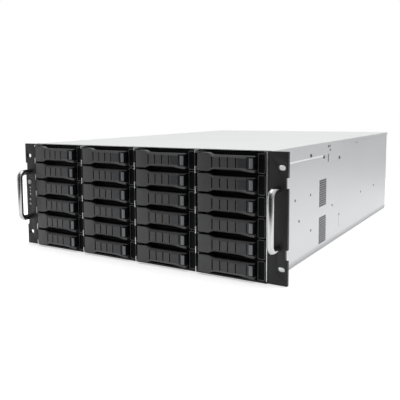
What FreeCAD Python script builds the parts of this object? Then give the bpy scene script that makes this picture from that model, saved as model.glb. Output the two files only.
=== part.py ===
import FreeCAD, Part
import math
import os

Vector = FreeCAD.Vector

# Rack storage chassis, four units high, in millimetres.
# x runs to the right of someone facing the front, y runs back from the rack plane, z runs up from the floor.

# Rack front
rack_width = 482.6
rack_hole_from_edge = 8.75
rack_hole_rise = 133.35
rack_slot_length = 10.3
rack_slot_width = 6.8

# Folded body
ear_reach = 24.3
body_height = 176.0
body_depth = 660.0
sheet = 1.2
cover_sheet = 1.0
cover_gap = 0.3
tub_flange = 10.0
seat_gap = 0.3

# Covers
front_cover_flange = 21.0
front_cover_front = 0.0
cover_seam_y = 236.0
cover_seam = 0.6
rear_cover_rim = 5.0
rear_cover_tab_length = 81.0
rear_cover_tab_drop = 34.0
rear_cover_tab_corner = 5.0
rear_cover_lip = 13.0

# Drive bays
columns = 4
rows = 6
bay_side_margin = 4.3
bay_top_gap = 0.6
cage_sheet = 1.0
cage_flange = 1.0
ledge_width = 2.5
ledge_thickness = 0.8
ledge_front = 10.0
cage_front = -3.0
cage_back = 186.0
cage_tab_front = -10.0
cage_tab_height = 10.0
cage_tab_rise = 2.0
cage_strip_front = -6.0

# Drive carrier
carrier_side_gap = 0.4
carrier_row_gap = 0.9
bezel_proud = 2.0
bezel_recess = 6.0
bezel_base = 5.0
bezel_panel_width = 12.0
bezel_panel_rim = 1.6
bezel_panel_depth = 1.2
vent_margin_left = 11.0
vent_margin_right = 5.0
vent_rail = 5.3
tray_sheet = 0.9
tray_lift = 0.2
tray_back = 172.0
tray_wall_gap = 4.6

# Pull lever and its release slider
lever_thickness = 8.0
lever_inset = 5.5
lever_end_gap = 1.7
lever_waist = 2.9
lever_wide_length = 17.7
lever_taper_length = 6.0
lever_taper_round = 16.0
grip_grooves = 4
grip_pitch = 12.0
grip_first = 28.6
grip_width = 1.8
grip_depth = 2.2
grip_bevel_height = 3.0
grip_bevel_depth = 2.5
lug_thickness = 0.9
lug_gap = 0.2
hinge_pin_radius = 1.25
hinge_pin_clearance = 0.08
nose_chamfer = 1.6
fork_length = 10.8
fork_arm = 1.5
slider_length = 6.5
slider_gap = 0.4
slider_end_gap = 0.8
slider_proud = 1.2
slider_slope = 2.2

# Rack ears and handles
ear_thickness = 5.0
ear_end_gap = 0.5
ear_inner_overlap = 1.0
ear_flange_length = 40.0
ear_flange_gap = 2.0
ear_notch_offset = 47.0
ear_notch_height = 14.0
ear_notch_depth = 3.0
handle_radius = 4.5
handle_height = 78.0
handle_reach = 26.0
handle_bend = 9.0
handle_sides = 8
handle_from_edge = 12.7

# Controls in the left ear
control_skin = 2.0
control_board_thickness = 1.2
control_board_width = 15.0
control_board_margin = 4.0
control_pocket_gap = 0.3
button_clearance = 0.2
button_proud = 1.2
button_travel = 0.8
power_radius = 4.0
power_rise = 21.0
small_radius = 2.0
reset_rise = -9.5
mute_rise = -17.5
light_size = 2.4
light_rises = (11.0, 5.5, 0.0)
light_proud = 0.2
light_clearance = 0.05

# Board behind the bays
backplane_thickness = 2.4
backplane_margin = 2.0
airflow_slot_height = 10.0
airflow_slot_side = 14.0
airflow_row_step = 2
socket_length = 42.0
socket_height = 7.0
socket_depth = 11.0
socket_rise = 4.0
socket_key = 1.6

# Fans
fans = 3
fan_wall_y = 231.0
fan_wall_flange = 12.0
fan_side_margin = 16.5
fan_gap = 12.0
fan_depth = 38.0
fan_floor_gap = 6.0
fan_corner = 6.0
fan_duct_wall = 2.0
fan_bore_sides = 28
fan_window_lip = 4.0
fan_window_cut = 30.0
motor_radius = 20.0
motor_depth = 9.0
strut_width = 6.0
strut_depth = 4.0
hub_radius = 22.0
hub_depth = 22.0
hub_gap = 1.0
blades = 5
blade_tip_gap = 1.5
blade_thickness = 1.8
blade_root_chord = 20.0
blade_tip_chord = 38.0
blade_pitch = 28.0
blade_camber = 2.4
blade_stations = (-1.0, 0.0, 1.0)
shaft_radius = 2.0
shaft_clearance = 0.06
shaft_seat = 7.0

# Rear wall
slot_pitch = 20.32
slot_side_margin = 15.0
slot_opening = 13.0
slot_height = 100.0
slot_floor = 16.0
slot_connector_gap = 14.25
slot_cover_width = 18.4
slot_cover_sheet = 0.9
slot_cover_lap = 8.0
slot_cover_tab = 11.0
connector_window_width = 158.75
connector_window_height = 44.45
connector_psu_gap = 20.0
connector_window_floor = 8.0
vent_rows = 8
vent_slot_length = 66.0
vent_slot_height = 5.0
vent_slot_gap = 12.0
vent_slot_pitch = 11.0
vent_slot_first = 66.0

# Power supplies
psu_count = 2
psu_width = 73.5
psu_height = 40.0
psu_length = 185.0
psu_side_gap = 0.5
psu_wall_margin = 6.0
psu_floor_rise = 4.0
psu_cage_sheet = 1.0
psu_window_gap = 0.6
psu_grip_reach = 20.0
psu_grip_width = 9.0
psu_grip_span = 30.0
psu_grip_strap = 3.0
psu_inlet_width = 27.0
psu_inlet_height = 20.0
psu_inlet_depth = 14.0
psu_inlet_corner = 5.0
psu_inlet_inset = 5.0

# Main board supports, on the standard board's hole grid
standoff_flats = 6.0
standoff_height = 8.0
standoff_right_inset = 9.5
standoff_middle_gap = 8.25
standoff_wall_gap = 35.0
standoff_from_rear = (15.0, 170.0, 242.0)

# Side vents in the tub walls
vent_patch_y = 193.0
vent_patch_width = 35.0
vent_patch_height = 44.0
vent_patch_floors = (11.5, 72.0)
vent_louvres = 6
vent_louvre_height = 3.6

# Rear cover thumbscrews
screw_radius = 2.0
screw_slot_gap = 0.4
thumb_head = 5.5
thumb_thickness = 8.0
thumb_sides = 12
thumb_from_side = 67.0

# Two points closer than this are one
same_point = 1e-6

# Places that follow from the sizes above
body_width = rack_width - 2 * ear_reach
cover_half = body_width / 2
tub_half = cover_half - cover_sheet - cover_gap
tub_inner = tub_half - sheet
tub_top = body_height - cover_sheet
floor_top = sheet
mid_height = body_height / 2
ear_front = -ear_thickness
ear_height = body_height - 2 * ear_end_gap
rack_hole_spacing = rack_width - 2 * rack_hole_from_edge
bay_pitch = (body_width - 2 * bay_side_margin) / columns
cage_bottom = floor_top + cage_sheet
row_pitch = (tub_top - sheet - bay_top_gap - cage_bottom) / rows
carrier_width = bay_pitch - cage_sheet - 2 * carrier_side_gap
carrier_height = row_pitch - carrier_row_gap
tray_wall = carrier_height - tray_wall_gap
vent_height = carrier_height - 2 * vent_rail
bezel_front = ear_front - bezel_proud
base_front = bezel_front + bezel_recess
bezel_back = base_front + bezel_base
lever_back = bezel_front
lever_front = lever_back - lever_thickness
lever_end = carrier_width - bezel_panel_width - lever_end_gap
lever_middle = carrier_height / 2
lever_wide_height = carrier_height - 2 * (lug_thickness + lug_gap)
lever_narrow_height = lever_wide_height - 2 * lever_waist
fork_height = lever_narrow_height - 2 * fork_arm
pivot_radius = lever_thickness / 2
pivot_x = lever_inset + pivot_radius
pivot_y = lever_back - pivot_radius
fan_wall_back = fan_wall_y + sheet
fan_pitch = 2 * (tub_inner - fan_side_margin) / fans
fan_size = fan_pitch - fan_gap
fan_bore_radius = fan_size / 2 - fan_duct_wall
fan_window = fan_size - 2 * fan_window_lip
fan_middle = floor_top + fan_floor_gap + fan_size / 2
rear_inside = body_depth - sheet
psu_right = tub_inner - psu_wall_margin - psu_cage_sheet - psu_side_gap
psu_left = psu_right - psu_width
connector_window_right = psu_left - psu_side_gap - psu_cage_sheet - connector_psu_gap
connector_window_left = connector_window_right - connector_window_width
slot_first_x = connector_window_left - slot_connector_gap
slots = 1 + int((slot_first_x + tub_inner - slot_side_margin) / slot_pitch)
standoff_right = connector_window_right - standoff_right_inset
standoff_middle = connector_window_left - standoff_middle_gap
standoff_columns = (standoff_right, standoff_middle, standoff_wall_gap - tub_inner)
control_x = -rack_hole_spacing / 2
power_height = mid_height + power_rise
reset_height = mid_height + reset_rise
mute_height = mid_height + mute_rise
light_heights = [mid_height + rise for rise in light_rises]
thumb_x = cover_half - thumb_from_side
rear_lip_y = body_depth + cover_gap
thumb_z = body_height - rear_cover_lip / 2
front_most = ear_front - handle_reach - handle_radius * math.cos(math.pi / handle_sides)
rear_most = body_depth + psu_grip_reach
middle_y = (front_most + rear_most) / 2


def on_plane(axis, along, u, v):
    # The drawing planes: x shows (y, z), y shows (x, z) and z shows (x, y)
    if axis == "x":
        return Vector(along, u, v)
    if axis == "y":
        return Vector(u, along, v)
    return Vector(u, v, along)


def outline(axis, along, corners):
    # Closed wire through corners (u, v) or (u, v, radius)
    points = [on_plane(axis, along, corner[0], corner[1]) for corner in corners]
    turns = []
    for index, here in enumerate(points):
        radius = corners[index][2] if len(corners[index]) > 2 else 0.0
        if radius == 0.0:
            turns.append((here, None, here))
            continue
        back = (points[index - 1] - here).normalize()
        ahead = (points[(index + 1) % len(points)] - here).normalize()
        half_angle = back.getAngle(ahead) / 2
        reach = radius / math.tan(half_angle)
        inward = (back + ahead).normalize() * (radius / math.sin(half_angle) - radius)
        turns.append((here + back * reach, here + inward, here + ahead * reach))
    edges = []
    for index, (start, middle, end) in enumerate(turns):
        if middle is not None:
            edges.append(Part.Arc(start, middle, end).toShape())
        following = turns[(index + 1) % len(turns)][0]
        if end.distanceToPoint(following) > same_point:
            edges.append(Part.makeLine(end, following))
    return Part.Wire(edges)


def hole_wire(axis, along, hole):
    if hole[0] == "round":
        u, v, radius = hole[1:]
        return Part.Wire([Part.makeCircle(radius, on_plane(axis, along, u, v), on_plane(axis, 1, 0, 0))])
    return outline(axis, along, hole)


def plate(axis, start, end, corners, holes=()):
    # A flat outline with holes, given its thickness along one axis
    wires = [hole_wire(axis, start, corners)]
    wires += [hole_wire(axis, start, hole) for hole in holes]
    face = Part.makeFace(wires, "Part::FaceMakerBullseye")
    return face.extrude(on_plane(axis, end - start, 0, 0))


def rectangle(u0, u1, v0, v1, radius=0.0):
    return [(u0, v0, radius), (u1, v0, radius), (u1, v1, radius), (u0, v1, radius)]


def round_hole(u, v, radius):
    return ("round", u, v, radius)


def octagon(u, v, half, flat):
    # Square of the given half width with its corners cut, leaving flats of twice the given length
    corners = [(half, -flat), (half, flat), (flat, half), (-flat, half)]
    corners += [(-a, -b) for a, b in corners]
    return [(u + a, v + b) for a, b in corners]


def many_sided(u, v, radius, sides):
    # Regular outline with a flat at the top
    turns = [2 * math.pi * (index + 0.5) / sides + math.pi / 2 for index in range(sides)]
    return [(u + radius * math.cos(turn), v + radius * math.sin(turn)) for turn in turns]


def slot_hole(u, v, length, width):
    reach = length / 2
    half = width / 2
    return rectangle(u - reach, u + reach, v - half, v + half, half)


def folded(path, thickness):
    # Section of a sheet folded along the path of one face, with the sheet on the left of that path
    directions = []
    for (u0, v0), (u1, v1) in zip(path, path[1:]):
        length = math.hypot(u1 - u0, v1 - v0)
        directions.append(((u1 - u0) / length, (v1 - v0) / length))
    other_face = []
    for index, (u, v) in enumerate(path):
        before = directions[max(index - 1, 0)]
        after = directions[min(index, len(directions) - 1)]
        spread = thickness / (1 + before[0] * after[0] + before[1] * after[1])
        other_face.append((u - (before[1] + after[1]) * spread, v + (before[0] + after[0]) * spread))
    return path + other_face[::-1]


def fused(first, *others):
    return first.multiFuse(list(others)).removeSplitter()


def cut(solid, tools):
    return solid.cut(Part.makeCompound(list(tools)))


def mirrored(shape):
    return shape.mirror(Vector(0, 0, 0), Vector(1, 0, 0))


# Where the bays are: columns count from the left, rows from the top
def divider_x(index):
    return (index - columns / 2) * bay_pitch


def carrier_x(column):
    return divider_x(column) + cage_sheet / 2 + carrier_side_gap


def ledge_z(row):
    return cage_bottom + (rows - 1 - row) * row_pitch


def carrier_z(row):
    return ledge_z(row) + ledge_thickness + seat_gap - tray_lift


def psu_floor(index):
    # Underside of a power supply module, just above its shelf
    step = psu_height + psu_cage_sheet + psu_side_gap + seat_gap
    return floor_top + psu_floor_rise + seat_gap + index * step


def fan_x(index):
    return (index - (fans - 1) / 2) * fan_pitch


def chassis_tub():
    edge = tub_half - tub_flange
    path = [(-edge, tub_top), (-tub_half, tub_top), (-tub_half, 0)]
    path += [(tub_half, 0), (tub_half, tub_top), (edge, tub_top)]
    tub = plate("y", 0, body_depth, folded(path, sheet))
    louvre_pitch = (vent_patch_height - vent_louvre_height) / (vent_louvres - 1)
    openings = []
    for floor in vent_patch_floors:
        for index in range(vent_louvres):
            low = floor + index * louvre_pitch
            louvre = rectangle(vent_patch_y, vent_patch_y + vent_patch_width, low, low + vent_louvre_height)
            openings.append(plate("x", -cover_half, cover_half, louvre))
    return cut(tub, openings)


def front_top_cover():
    low = body_height - front_cover_flange
    path = [(cover_half, low), (cover_half, body_height), (-cover_half, body_height), (-cover_half, low)]
    return plate("y", front_cover_front, cover_seam_y - cover_seam / 2, folded(path, cover_sheet))


def rear_top_cover():
    low = body_height - rear_cover_rim
    front = cover_seam_y + cover_seam / 2
    back = rear_lip_y + cover_sheet
    path = [(cover_half, low), (cover_half, body_height), (-cover_half, body_height), (-cover_half, low)]
    cover = plate("y", front, back, folded(path, cover_sheet))
    tab_low = body_height - rear_cover_tab_drop
    tab_end = cover_seam_y + rear_cover_tab_length
    tab_outline = [
        (front, body_height - rear_cover_rim),
        (front, tab_low),
        (tab_end - rear_cover_tab_corner, tab_low),
        (tab_end, tab_low + rear_cover_tab_corner),
        (tab_end, body_height - rear_cover_rim),
    ]
    tab = plate("x", cover_half - cover_sheet, cover_half, tab_outline)
    lip_low = body_height - rear_cover_lip
    lip = plate("y", rear_lip_y, back, rectangle(-tub_inner, tub_inner, lip_low, tub_top))
    cover = fused(cover, tab, mirrored(tab), lip)
    slot_half = screw_radius + screw_slot_gap
    tools = []
    for x in (-thumb_x, thumb_x):
        lip_slot = rectangle(x - slot_half, x + slot_half, lip_low - slot_half, thumb_z + slot_half)
        tools.append(plate("y", body_depth, back, lip_slot))
    return cut(cover, tools)


def rear_panel():
    top = connector_window_floor + connector_window_height
    holes = [rectangle(connector_window_left, connector_window_right, connector_window_floor, top)]
    for index in range(slots):
        x = slot_first_x - index * slot_pitch
        half = slot_opening / 2
        holes.append(rectangle(x - half, x + half, slot_floor, slot_floor + slot_height))
    psu_low = psu_floor(0) - psu_window_gap
    psu_high = psu_floor(1) + psu_height + psu_window_gap
    holes.append(rectangle(psu_left - psu_window_gap, psu_right + psu_window_gap, psu_low, psu_high))
    vent_middle = (connector_window_left + connector_window_right) / 2
    for index in range(vent_rows):
        low = vent_slot_first + index * vent_slot_pitch
        for left in (vent_middle - vent_slot_gap / 2 - vent_slot_length, vent_middle + vent_slot_gap / 2):
            holes.append(rectangle(left, left + vent_slot_length, low, low + vent_slot_height))
    wall = rectangle(-tub_inner, tub_inner, floor_top, tub_top - sheet)
    return plate("y", rear_inside, body_depth, wall, holes)


def wall_side(with_ledges, with_flange, top):
    # Half section of a bay wall, from the floor up: (distance from the middle of the sheet, height)
    half = cage_sheet / 2
    foot = half + cage_flange
    shelf = half + ledge_width
    points = [(half, floor_top)]
    if with_flange:
        points = [(foot, floor_top), (foot, floor_top + cage_sheet), (half, floor_top + cage_sheet)]
    ledge_rows = reversed(range(rows)) if with_ledges else ()
    for row in ledge_rows:
        low = ledge_z(row)
        high = low + ledge_thickness
        points += [(half, low), (shelf, low), (shelf, high), (half, high)]
    points.append((half, top))
    return points


def wall_front(index, top):
    # Front strip of a bay wall: straight beside the right ear, elsewhere with a tab between the rows
    strip = [(ledge_front, floor_top), (ledge_front, top)]
    if index == columns:
        return strip + [(cage_strip_front, top), (cage_strip_front, floor_top)]
    for row in range(rows + 1):
        between = carrier_z(0) + carrier_height + carrier_row_gap / 2 - row * row_pitch
        middle = between + cage_tab_rise
        high = min(middle + cage_tab_height / 2, top)
        low = max(middle - cage_tab_height / 2, floor_top)
        strip += [(cage_front, high), (cage_tab_front, high), (cage_tab_front, low), (cage_front, low)]
    return strip


def cage_wall(index):
    top = tub_top if 0 < index < columns else tub_top - sheet
    right = wall_side(index < columns, index == columns, top)
    left = wall_side(index > 0, index == 0, top)
    middle = divider_x(index)
    section = [(middle + distance, height) for distance, height in right]
    section += [(middle - distance, height) for distance, height in reversed(left)]
    runner = plate("y", ledge_front, cage_back, section)
    half = cage_sheet / 2
    return fused(runner, plate("x", middle - half, middle + half, wall_front(index, top)))


def carrier_tray():
    low = tray_lift
    high = low + tray_wall
    path = [(0, high), (0, low), (carrier_width, low), (carrier_width, high)]
    return plate("y", bezel_back, tray_back, folded(path, tray_sheet))


def carrier_bezel(with_pin):
    panel = carrier_width - bezel_panel_width
    plan = [
        (0, bezel_back), (0, base_front), (panel, base_front),
        (panel, bezel_front), (carrier_width, bezel_front), (carrier_width, bezel_back),
    ]
    body = plate("z", 0, carrier_height, plan)
    lug = rectangle(lever_inset, lever_inset + lever_thickness, lever_front, base_front)
    pieces = [
        plate("z", 0, lug_thickness, lug),
        plate("z", carrier_height - lug_thickness, carrier_height, lug),
    ]
    if with_pin:
        pieces.append(plate("z", 0, carrier_height, round_hole(pivot_x, pivot_y, hinge_pin_radius)))
    bezel = fused(body, *pieces)
    low = (carrier_height - vent_height) / 2
    window = rectangle(vent_margin_left, panel - vent_margin_right, low, low + vent_height)
    tools = [plate("y", base_front, bezel_back, window)]
    rim = bezel_panel_rim
    recess = rectangle(panel + rim, carrier_width - rim, rim, carrier_height - rim)
    tools.append(plate("y", bezel_front, bezel_front + bezel_panel_depth, recess))
    return cut(bezel, tools)


def pull_lever(with_bore):
    wide = lever_wide_height / 2
    narrow = lever_narrow_height / 2
    shoulder = lever_inset + lever_wide_length
    taper = shoulder + lever_taper_length
    taper_round = lever_taper_round if with_bore else 0.0
    upper = [(shoulder, wide), (taper, narrow, taper_round), (lever_end, narrow)]
    face = [(lever_inset, lever_middle + wide)]
    face += [(u, lever_middle + v, *rest) for u, v, *rest in upper]
    face += [(u, lever_middle - v, *rest) for u, v, *rest in reversed(upper)]
    face.append((lever_inset, lever_middle - wide))
    back = lever_back
    front = lever_front
    nose = lever_inset + nose_chamfer
    plan = [
        (nose, back), (lever_inset, back - nose_chamfer), (lever_inset, front + nose_chamfer),
        (nose, front), (lever_end, front), (lever_end, back),
    ]
    bore = [round_hole(pivot_x, pivot_y, hinge_pin_radius + hinge_pin_clearance)] if with_bore else []
    lever = plate("y", front, back, face).common(plate("z", 0, carrier_height, plan, bore))
    tools = []
    for index in range(grip_grooves):
        left = grip_first + index * grip_pitch - grip_width / 2
        groove = rectangle(left, left + grip_width, lever_front, lever_front + grip_depth)
        tools.append(plate("z", 0, carrier_height, groove))
    for side in (-1, 1):
        edge = lever_middle + side * narrow
        bevel = [(front, edge), (front, edge - side * grip_bevel_height), (front + grip_bevel_depth, edge)]
        tools.append(plate("x", taper, lever_end + lever_end_gap, bevel))
    fork_low = lever_middle - fork_height / 2
    fork_high = lever_middle + fork_height / 2
    fork = rectangle(lever_end - fork_length, lever_end + lever_end_gap, fork_low, fork_high)
    tools.append(plate("y", lever_front, lever_back, fork))
    return cut(lever, tools)


def release_slider():
    right = lever_end - slider_end_gap
    left = right - slider_length
    proud = lever_front - slider_proud
    plan = [
        (left, lever_back), (left, lever_front), (left + slider_slope, proud),
        (right - slider_slope / 2, proud), (right, lever_front), (right, lever_back),
    ]
    low = lever_middle - fork_height / 2 + slider_gap
    high = lever_middle + fork_height / 2 - slider_gap
    return plate("z", low, high, plan)


def rack_ear():
    outer = rack_width / 2
    inner = tub_inner - ear_inner_overlap
    low = mid_height - ear_height / 2
    high = mid_height + ear_height / 2
    edge = [(inner, low), (outer, low)]
    for middle in (mid_height - ear_notch_offset, mid_height + ear_notch_offset):
        notch_low = middle - ear_notch_height / 2
        notch_high = middle + ear_notch_height / 2
        bottom = outer - ear_notch_depth
        edge += [(outer, notch_low), (bottom, notch_low), (bottom, notch_high), (outer, notch_high)]
    edge += [(outer, high), (inner, high)]
    holes = []
    for side in (-1, 1):
        z = mid_height + side * rack_hole_rise / 2
        holes.append(slot_hole(rack_hole_spacing / 2, z, rack_slot_length, rack_slot_width))
    front = plate("y", ear_front, 0, edge, holes)
    flange_low = floor_top + cage_sheet + ear_flange_gap
    flange = plate("y", 0, ear_flange_length, rectangle(inner, tub_inner, flange_low, tub_top - sheet))
    return fused(front, flange)


def control_pocket(gap):
    half = control_board_width / 2 + gap
    low = mute_height - small_radius - control_board_margin - gap
    high = power_height + power_radius + control_board_margin + gap
    return rectangle(control_x - half, control_x + half, low, high)


def left_ear():
    ear = mirrored(rack_ear())
    tools = [plate("y", ear_front + control_skin, 0, control_pocket(control_pocket_gap))]
    sizes = {power_height: power_radius, reset_height: small_radius, mute_height: small_radius}
    for height, radius in sizes.items():
        tools.append(plate("y", ear_front, 0, round_hole(control_x, height, radius + button_clearance)))
    half = light_size / 2 + light_clearance
    for height in light_heights:
        hole = rectangle(control_x - half, control_x + half, height - half, height + half)
        tools.append(plate("y", ear_front, 0, hole))
    return cut(ear, tools)


def front_handles():
    x = rack_width / 2 - handle_from_edge
    bar_y = ear_front - handle_reach
    low = mid_height - handle_height / 2
    high = mid_height + handle_height / 2
    start = Vector(x, ear_front, low)
    # Straight legs and bar joined by tangent quarter turns
    turn = handle_bend * (1 - math.sqrt(0.5))
    low_leg = Vector(x, bar_y + handle_bend, low)
    low_middle = Vector(x, bar_y + turn, low + turn)
    low_bar = Vector(x, bar_y, low + handle_bend)
    high_bar = Vector(x, bar_y, high - handle_bend)
    high_middle = Vector(x, bar_y + turn, high - turn)
    high_leg = Vector(x, bar_y + handle_bend, high)
    path = Part.Wire([
        Part.makeLine(start, low_leg),
        Part.Arc(low_leg, low_middle, low_bar).toShape(),
        Part.makeLine(low_bar, high_bar),
        Part.Arc(high_bar, high_middle, high_leg).toShape(),
        Part.makeLine(high_leg, Vector(x, ear_front, high)),
    ])
    section = outline("y", ear_front, many_sided(x, low, handle_radius, handle_sides))
    bar = path.makePipeShell([section], True, True)
    return Part.makeCompound([bar, mirrored(bar)])


def ear_button(height, radius):
    back = -control_board_thickness - button_travel - seat_gap
    return plate("y", ear_front - button_proud, back, round_hole(control_x, height, radius))


def status_light_pipes():
    half = light_size / 2
    pipes = []
    for height in light_heights:
        section = rectangle(control_x - half, control_x + half, height - half, height + half)
        pipes.append(plate("y", ear_front - light_proud, -control_board_thickness, section))
    return Part.makeCompound(pipes)


def control_board():
    return plate("y", -control_board_thickness, 0, control_pocket(0))


def backplane():
    half = divider_x(columns) + cage_sheet / 2
    slots_cut = []
    for column in range(columns):
        left = divider_x(column) + airflow_slot_side
        right = divider_x(column + 1) - airflow_slot_side
        for row in range(1, rows, airflow_row_step):
            high = carrier_z(row) + carrier_height - backplane_margin
            slots_cut.append(rectangle(left, right, high - airflow_slot_height, high))
    board = rectangle(-half, half, floor_top + seat_gap, tub_top - sheet - backplane_margin)
    return plate("y", cage_back, cage_back + backplane_thickness, board, slots_cut)


def backplane_connectors():
    sockets = []
    for column in range(columns):
        middle = (divider_x(column) + divider_x(column + 1)) / 2
        left = middle - socket_length / 2
        right = middle + socket_length / 2
        for row in range(rows):
            low = carrier_z(row) + socket_rise
            high = low + socket_height
            keyed = [(left, low), (right - socket_key, low), (right, low + socket_key)]
            keyed += [(right, high), (left, high)]
            sockets.append(plate("y", cage_back - socket_depth, cage_back, keyed))
    return Part.makeCompound(sockets)


def fan_wall():
    high = tub_top - sheet
    front = fan_wall_back - fan_wall_flange
    path = [(front, floor_top), (fan_wall_back, floor_top), (fan_wall_back, high), (front, high)]
    wall = plate("x", -tub_inner, tub_inner, folded(path, sheet))
    half = fan_window / 2
    tools = []
    for index in range(fans):
        window = octagon(fan_x(index), fan_middle, half, half - fan_window_cut)
        tools.append(plate("y", fan_wall_y, fan_wall_back, window))
    return cut(wall, tools)


def fan_frame():
    half = fan_size / 2
    bore = many_sided(0, 0, fan_bore_radius, fan_bore_sides)
    duct = plate("y", 0, fan_depth, octagon(0, 0, half, half - fan_corner), [bore])
    motor_flat = motor_radius * math.tan(math.pi / 8)
    motor = plate("y", fan_depth - motor_depth, fan_depth, octagon(0, 0, motor_radius, motor_flat))
    strut_half = strut_width / 2
    reach = (fan_bore_radius + half) / 2
    strut_front = fan_depth - strut_depth
    upright = plate("y", strut_front, fan_depth, rectangle(-strut_half, strut_half, -reach, reach))
    across = plate("y", strut_front, fan_depth, rectangle(-reach, reach, -strut_half, strut_half))
    frame = fused(duct, motor, upright, across)
    seat = plate("y", fan_depth - motor_depth, fan_depth, round_hole(0, 0, shaft_radius + shaft_clearance))
    return frame.cut(seat)


def fan_frames():
    frame = fan_frame()
    places = [Vector(fan_x(index), fan_wall_back, fan_middle) for index in range(fans)]
    return Part.makeCompound([frame.translated(place) for place in places])


def fan_blade(middle):
    # Curved strip across the air stream, trimmed to a blade that widens towards its tip
    lean = math.radians(blade_pitch)
    tip = fan_bore_radius - blade_tip_gap
    half = blade_tip_chord / 2
    outer = []
    inner = []
    for share in blade_stations:
        along = share * half
        rise = blade_camber * (1 - share * share)
        for side, height in ((outer, rise + blade_thickness), (inner, rise)):
            u = along * math.cos(lean) - height * math.sin(lean)
            v = along * math.sin(lean) + height * math.cos(lean)
            side.append((u, middle + v))
    strip = plate("z", 0, tip, outer + inner[::-1])
    reach = math.sqrt(tip * tip - half * half)
    root = hub_radius - blade_thickness
    root_half = blade_root_chord / 2
    planform = [(-root_half, root), (root_half, root), (half, reach), (-half, reach)]
    return strip.common(plate("y", 0, fan_depth, planform))


def fan_rotor():
    hub_back = fan_depth - motor_depth - hub_gap
    hub_front = hub_back - hub_depth
    hub = plate("y", hub_front, hub_back, many_sided(0, 0, hub_radius, 2 * blades))
    shaft = plate("y", hub_back, hub_back + hub_gap + shaft_seat, round_hole(0, 0, shaft_radius))
    blade = fan_blade((hub_front + hub_back) / 2)
    turns = [360 / blades * index for index in range(blades)]
    spun = [blade.rotated(Vector(0, 0, 0), Vector(0, 1, 0), turn) for turn in turns]
    return fused(hub, shaft, *spun)


def psu_cage():
    left = psu_left - psu_side_gap
    right = psu_right + psu_side_gap
    outer_left = left - psu_cage_sheet
    outer_right = right + psu_cage_sheet
    top = psu_floor(1) + psu_height + psu_side_gap + psu_cage_sheet
    path = [(outer_right, floor_top), (outer_right, top), (outer_left, top), (outer_left, floor_top)]
    front = body_depth - psu_length
    cage = [plate("y", front, rear_inside, folded(path, psu_cage_sheet))]
    for index in range(psu_count):
        shelf_top = psu_floor(index) - seat_gap
        shelf = rectangle(left, right, shelf_top - psu_cage_sheet, shelf_top)
        cage.append(plate("y", front, rear_inside, shelf))
    return fused(*cage)


def psu_module(index):
    low = psu_floor(index)
    high = low + psu_height
    front = body_depth - psu_length
    body = plate("y", front, body_depth, rectangle(psu_left, psu_right, low, high))
    inlet_left = psu_left + psu_inlet_inset
    inlet_low = low + (psu_height - psu_inlet_height) / 2
    inlet_right = inlet_left + psu_inlet_width
    inlet_high = inlet_low + psu_inlet_height
    shoulder = inlet_high - psu_inlet_corner
    inlet = [
        (inlet_left, inlet_low), (inlet_right, inlet_low), (inlet_right, shoulder),
        (inlet_right - psu_inlet_corner, inlet_high), (inlet_left + psu_inlet_corner, inlet_high),
        (inlet_left, shoulder),
    ]
    body = body.cut(plate("y", body_depth - psu_inlet_depth, body_depth, inlet))
    grip_right = psu_right - psu_inlet_inset
    grip_left = grip_right - psu_grip_span
    grip_end = body_depth + psu_grip_reach
    path = [(grip_right, body_depth), (grip_right, grip_end), (grip_left, grip_end), (grip_left, body_depth)]
    grip_low = (low + high - psu_grip_width) / 2
    grip = plate("z", grip_low, grip_low + psu_grip_width, folded(path, psu_grip_strap))
    return fused(body, grip)


def slot_covers():
    low = slot_floor - slot_cover_lap
    high = slot_floor + slot_height + slot_cover_lap
    back = rear_inside
    path = [(back - slot_cover_tab, high), (back, high), (back, low)]
    section = folded(path[::-1], slot_cover_sheet)
    half = slot_cover_width / 2
    cover = plate("x", -half, half, section)
    places = [Vector(slot_first_x - index * slot_pitch, 0, 0) for index in range(slots)]
    return Part.makeCompound([cover.translated(place) for place in places])


def board_standoffs():
    corner = standoff_flats / math.sqrt(3)
    standoff = plate("z", floor_top, floor_top + standoff_height, many_sided(0, 0, corner, 6))
    places = [Vector(x, rear_inside - y, 0) for x in standoff_columns for y in standoff_from_rear]
    return Part.makeCompound([standoff.translated(place) for place in places])


def cover_thumbscrews():
    # Knurled heads stand on the rear lip; their necks pass its open slots to the rear panel
    seat = rear_lip_y + cover_sheet + cover_gap
    neck_side = many_sided(thumb_x, thumb_z, screw_radius, thumb_sides)
    head_side = many_sided(thumb_x, thumb_z, thumb_head, thumb_sides)
    neck = plate("y", body_depth, seat, neck_side)
    head = plate("y", seat, seat + thumb_thickness, head_side)
    thumb = fused(neck, head)
    return Part.makeCompound([thumb, mirrored(thumb)])


def save(name, shape):
    # The row's origin is the middle of the footprint, on the floor
    shape.translated(Vector(0, -middle_y, 0)).exportStep("parts/" + name + ".step")


def save_carriers():
    tray = carrier_tray()
    slider = release_slider()
    for row in range(rows):
        swings = row == 0
        bezel = carrier_bezel(swings)
        lever = pull_lever(swings)
        for column in range(columns):
            place = Vector(carrier_x(column), 0, carrier_z(row))
            label = "_r%d_c%d" % (row + 1, column + 1)
            pieces = [tray, bezel] if swings else [tray, bezel, lever, slider]
            save("carrier" + label, Part.makeCompound(pieces).translated(place))
            if swings:
                save("lever" + label, lever.translated(place))
                save("latch_button" + label, slider.translated(place))


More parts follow.
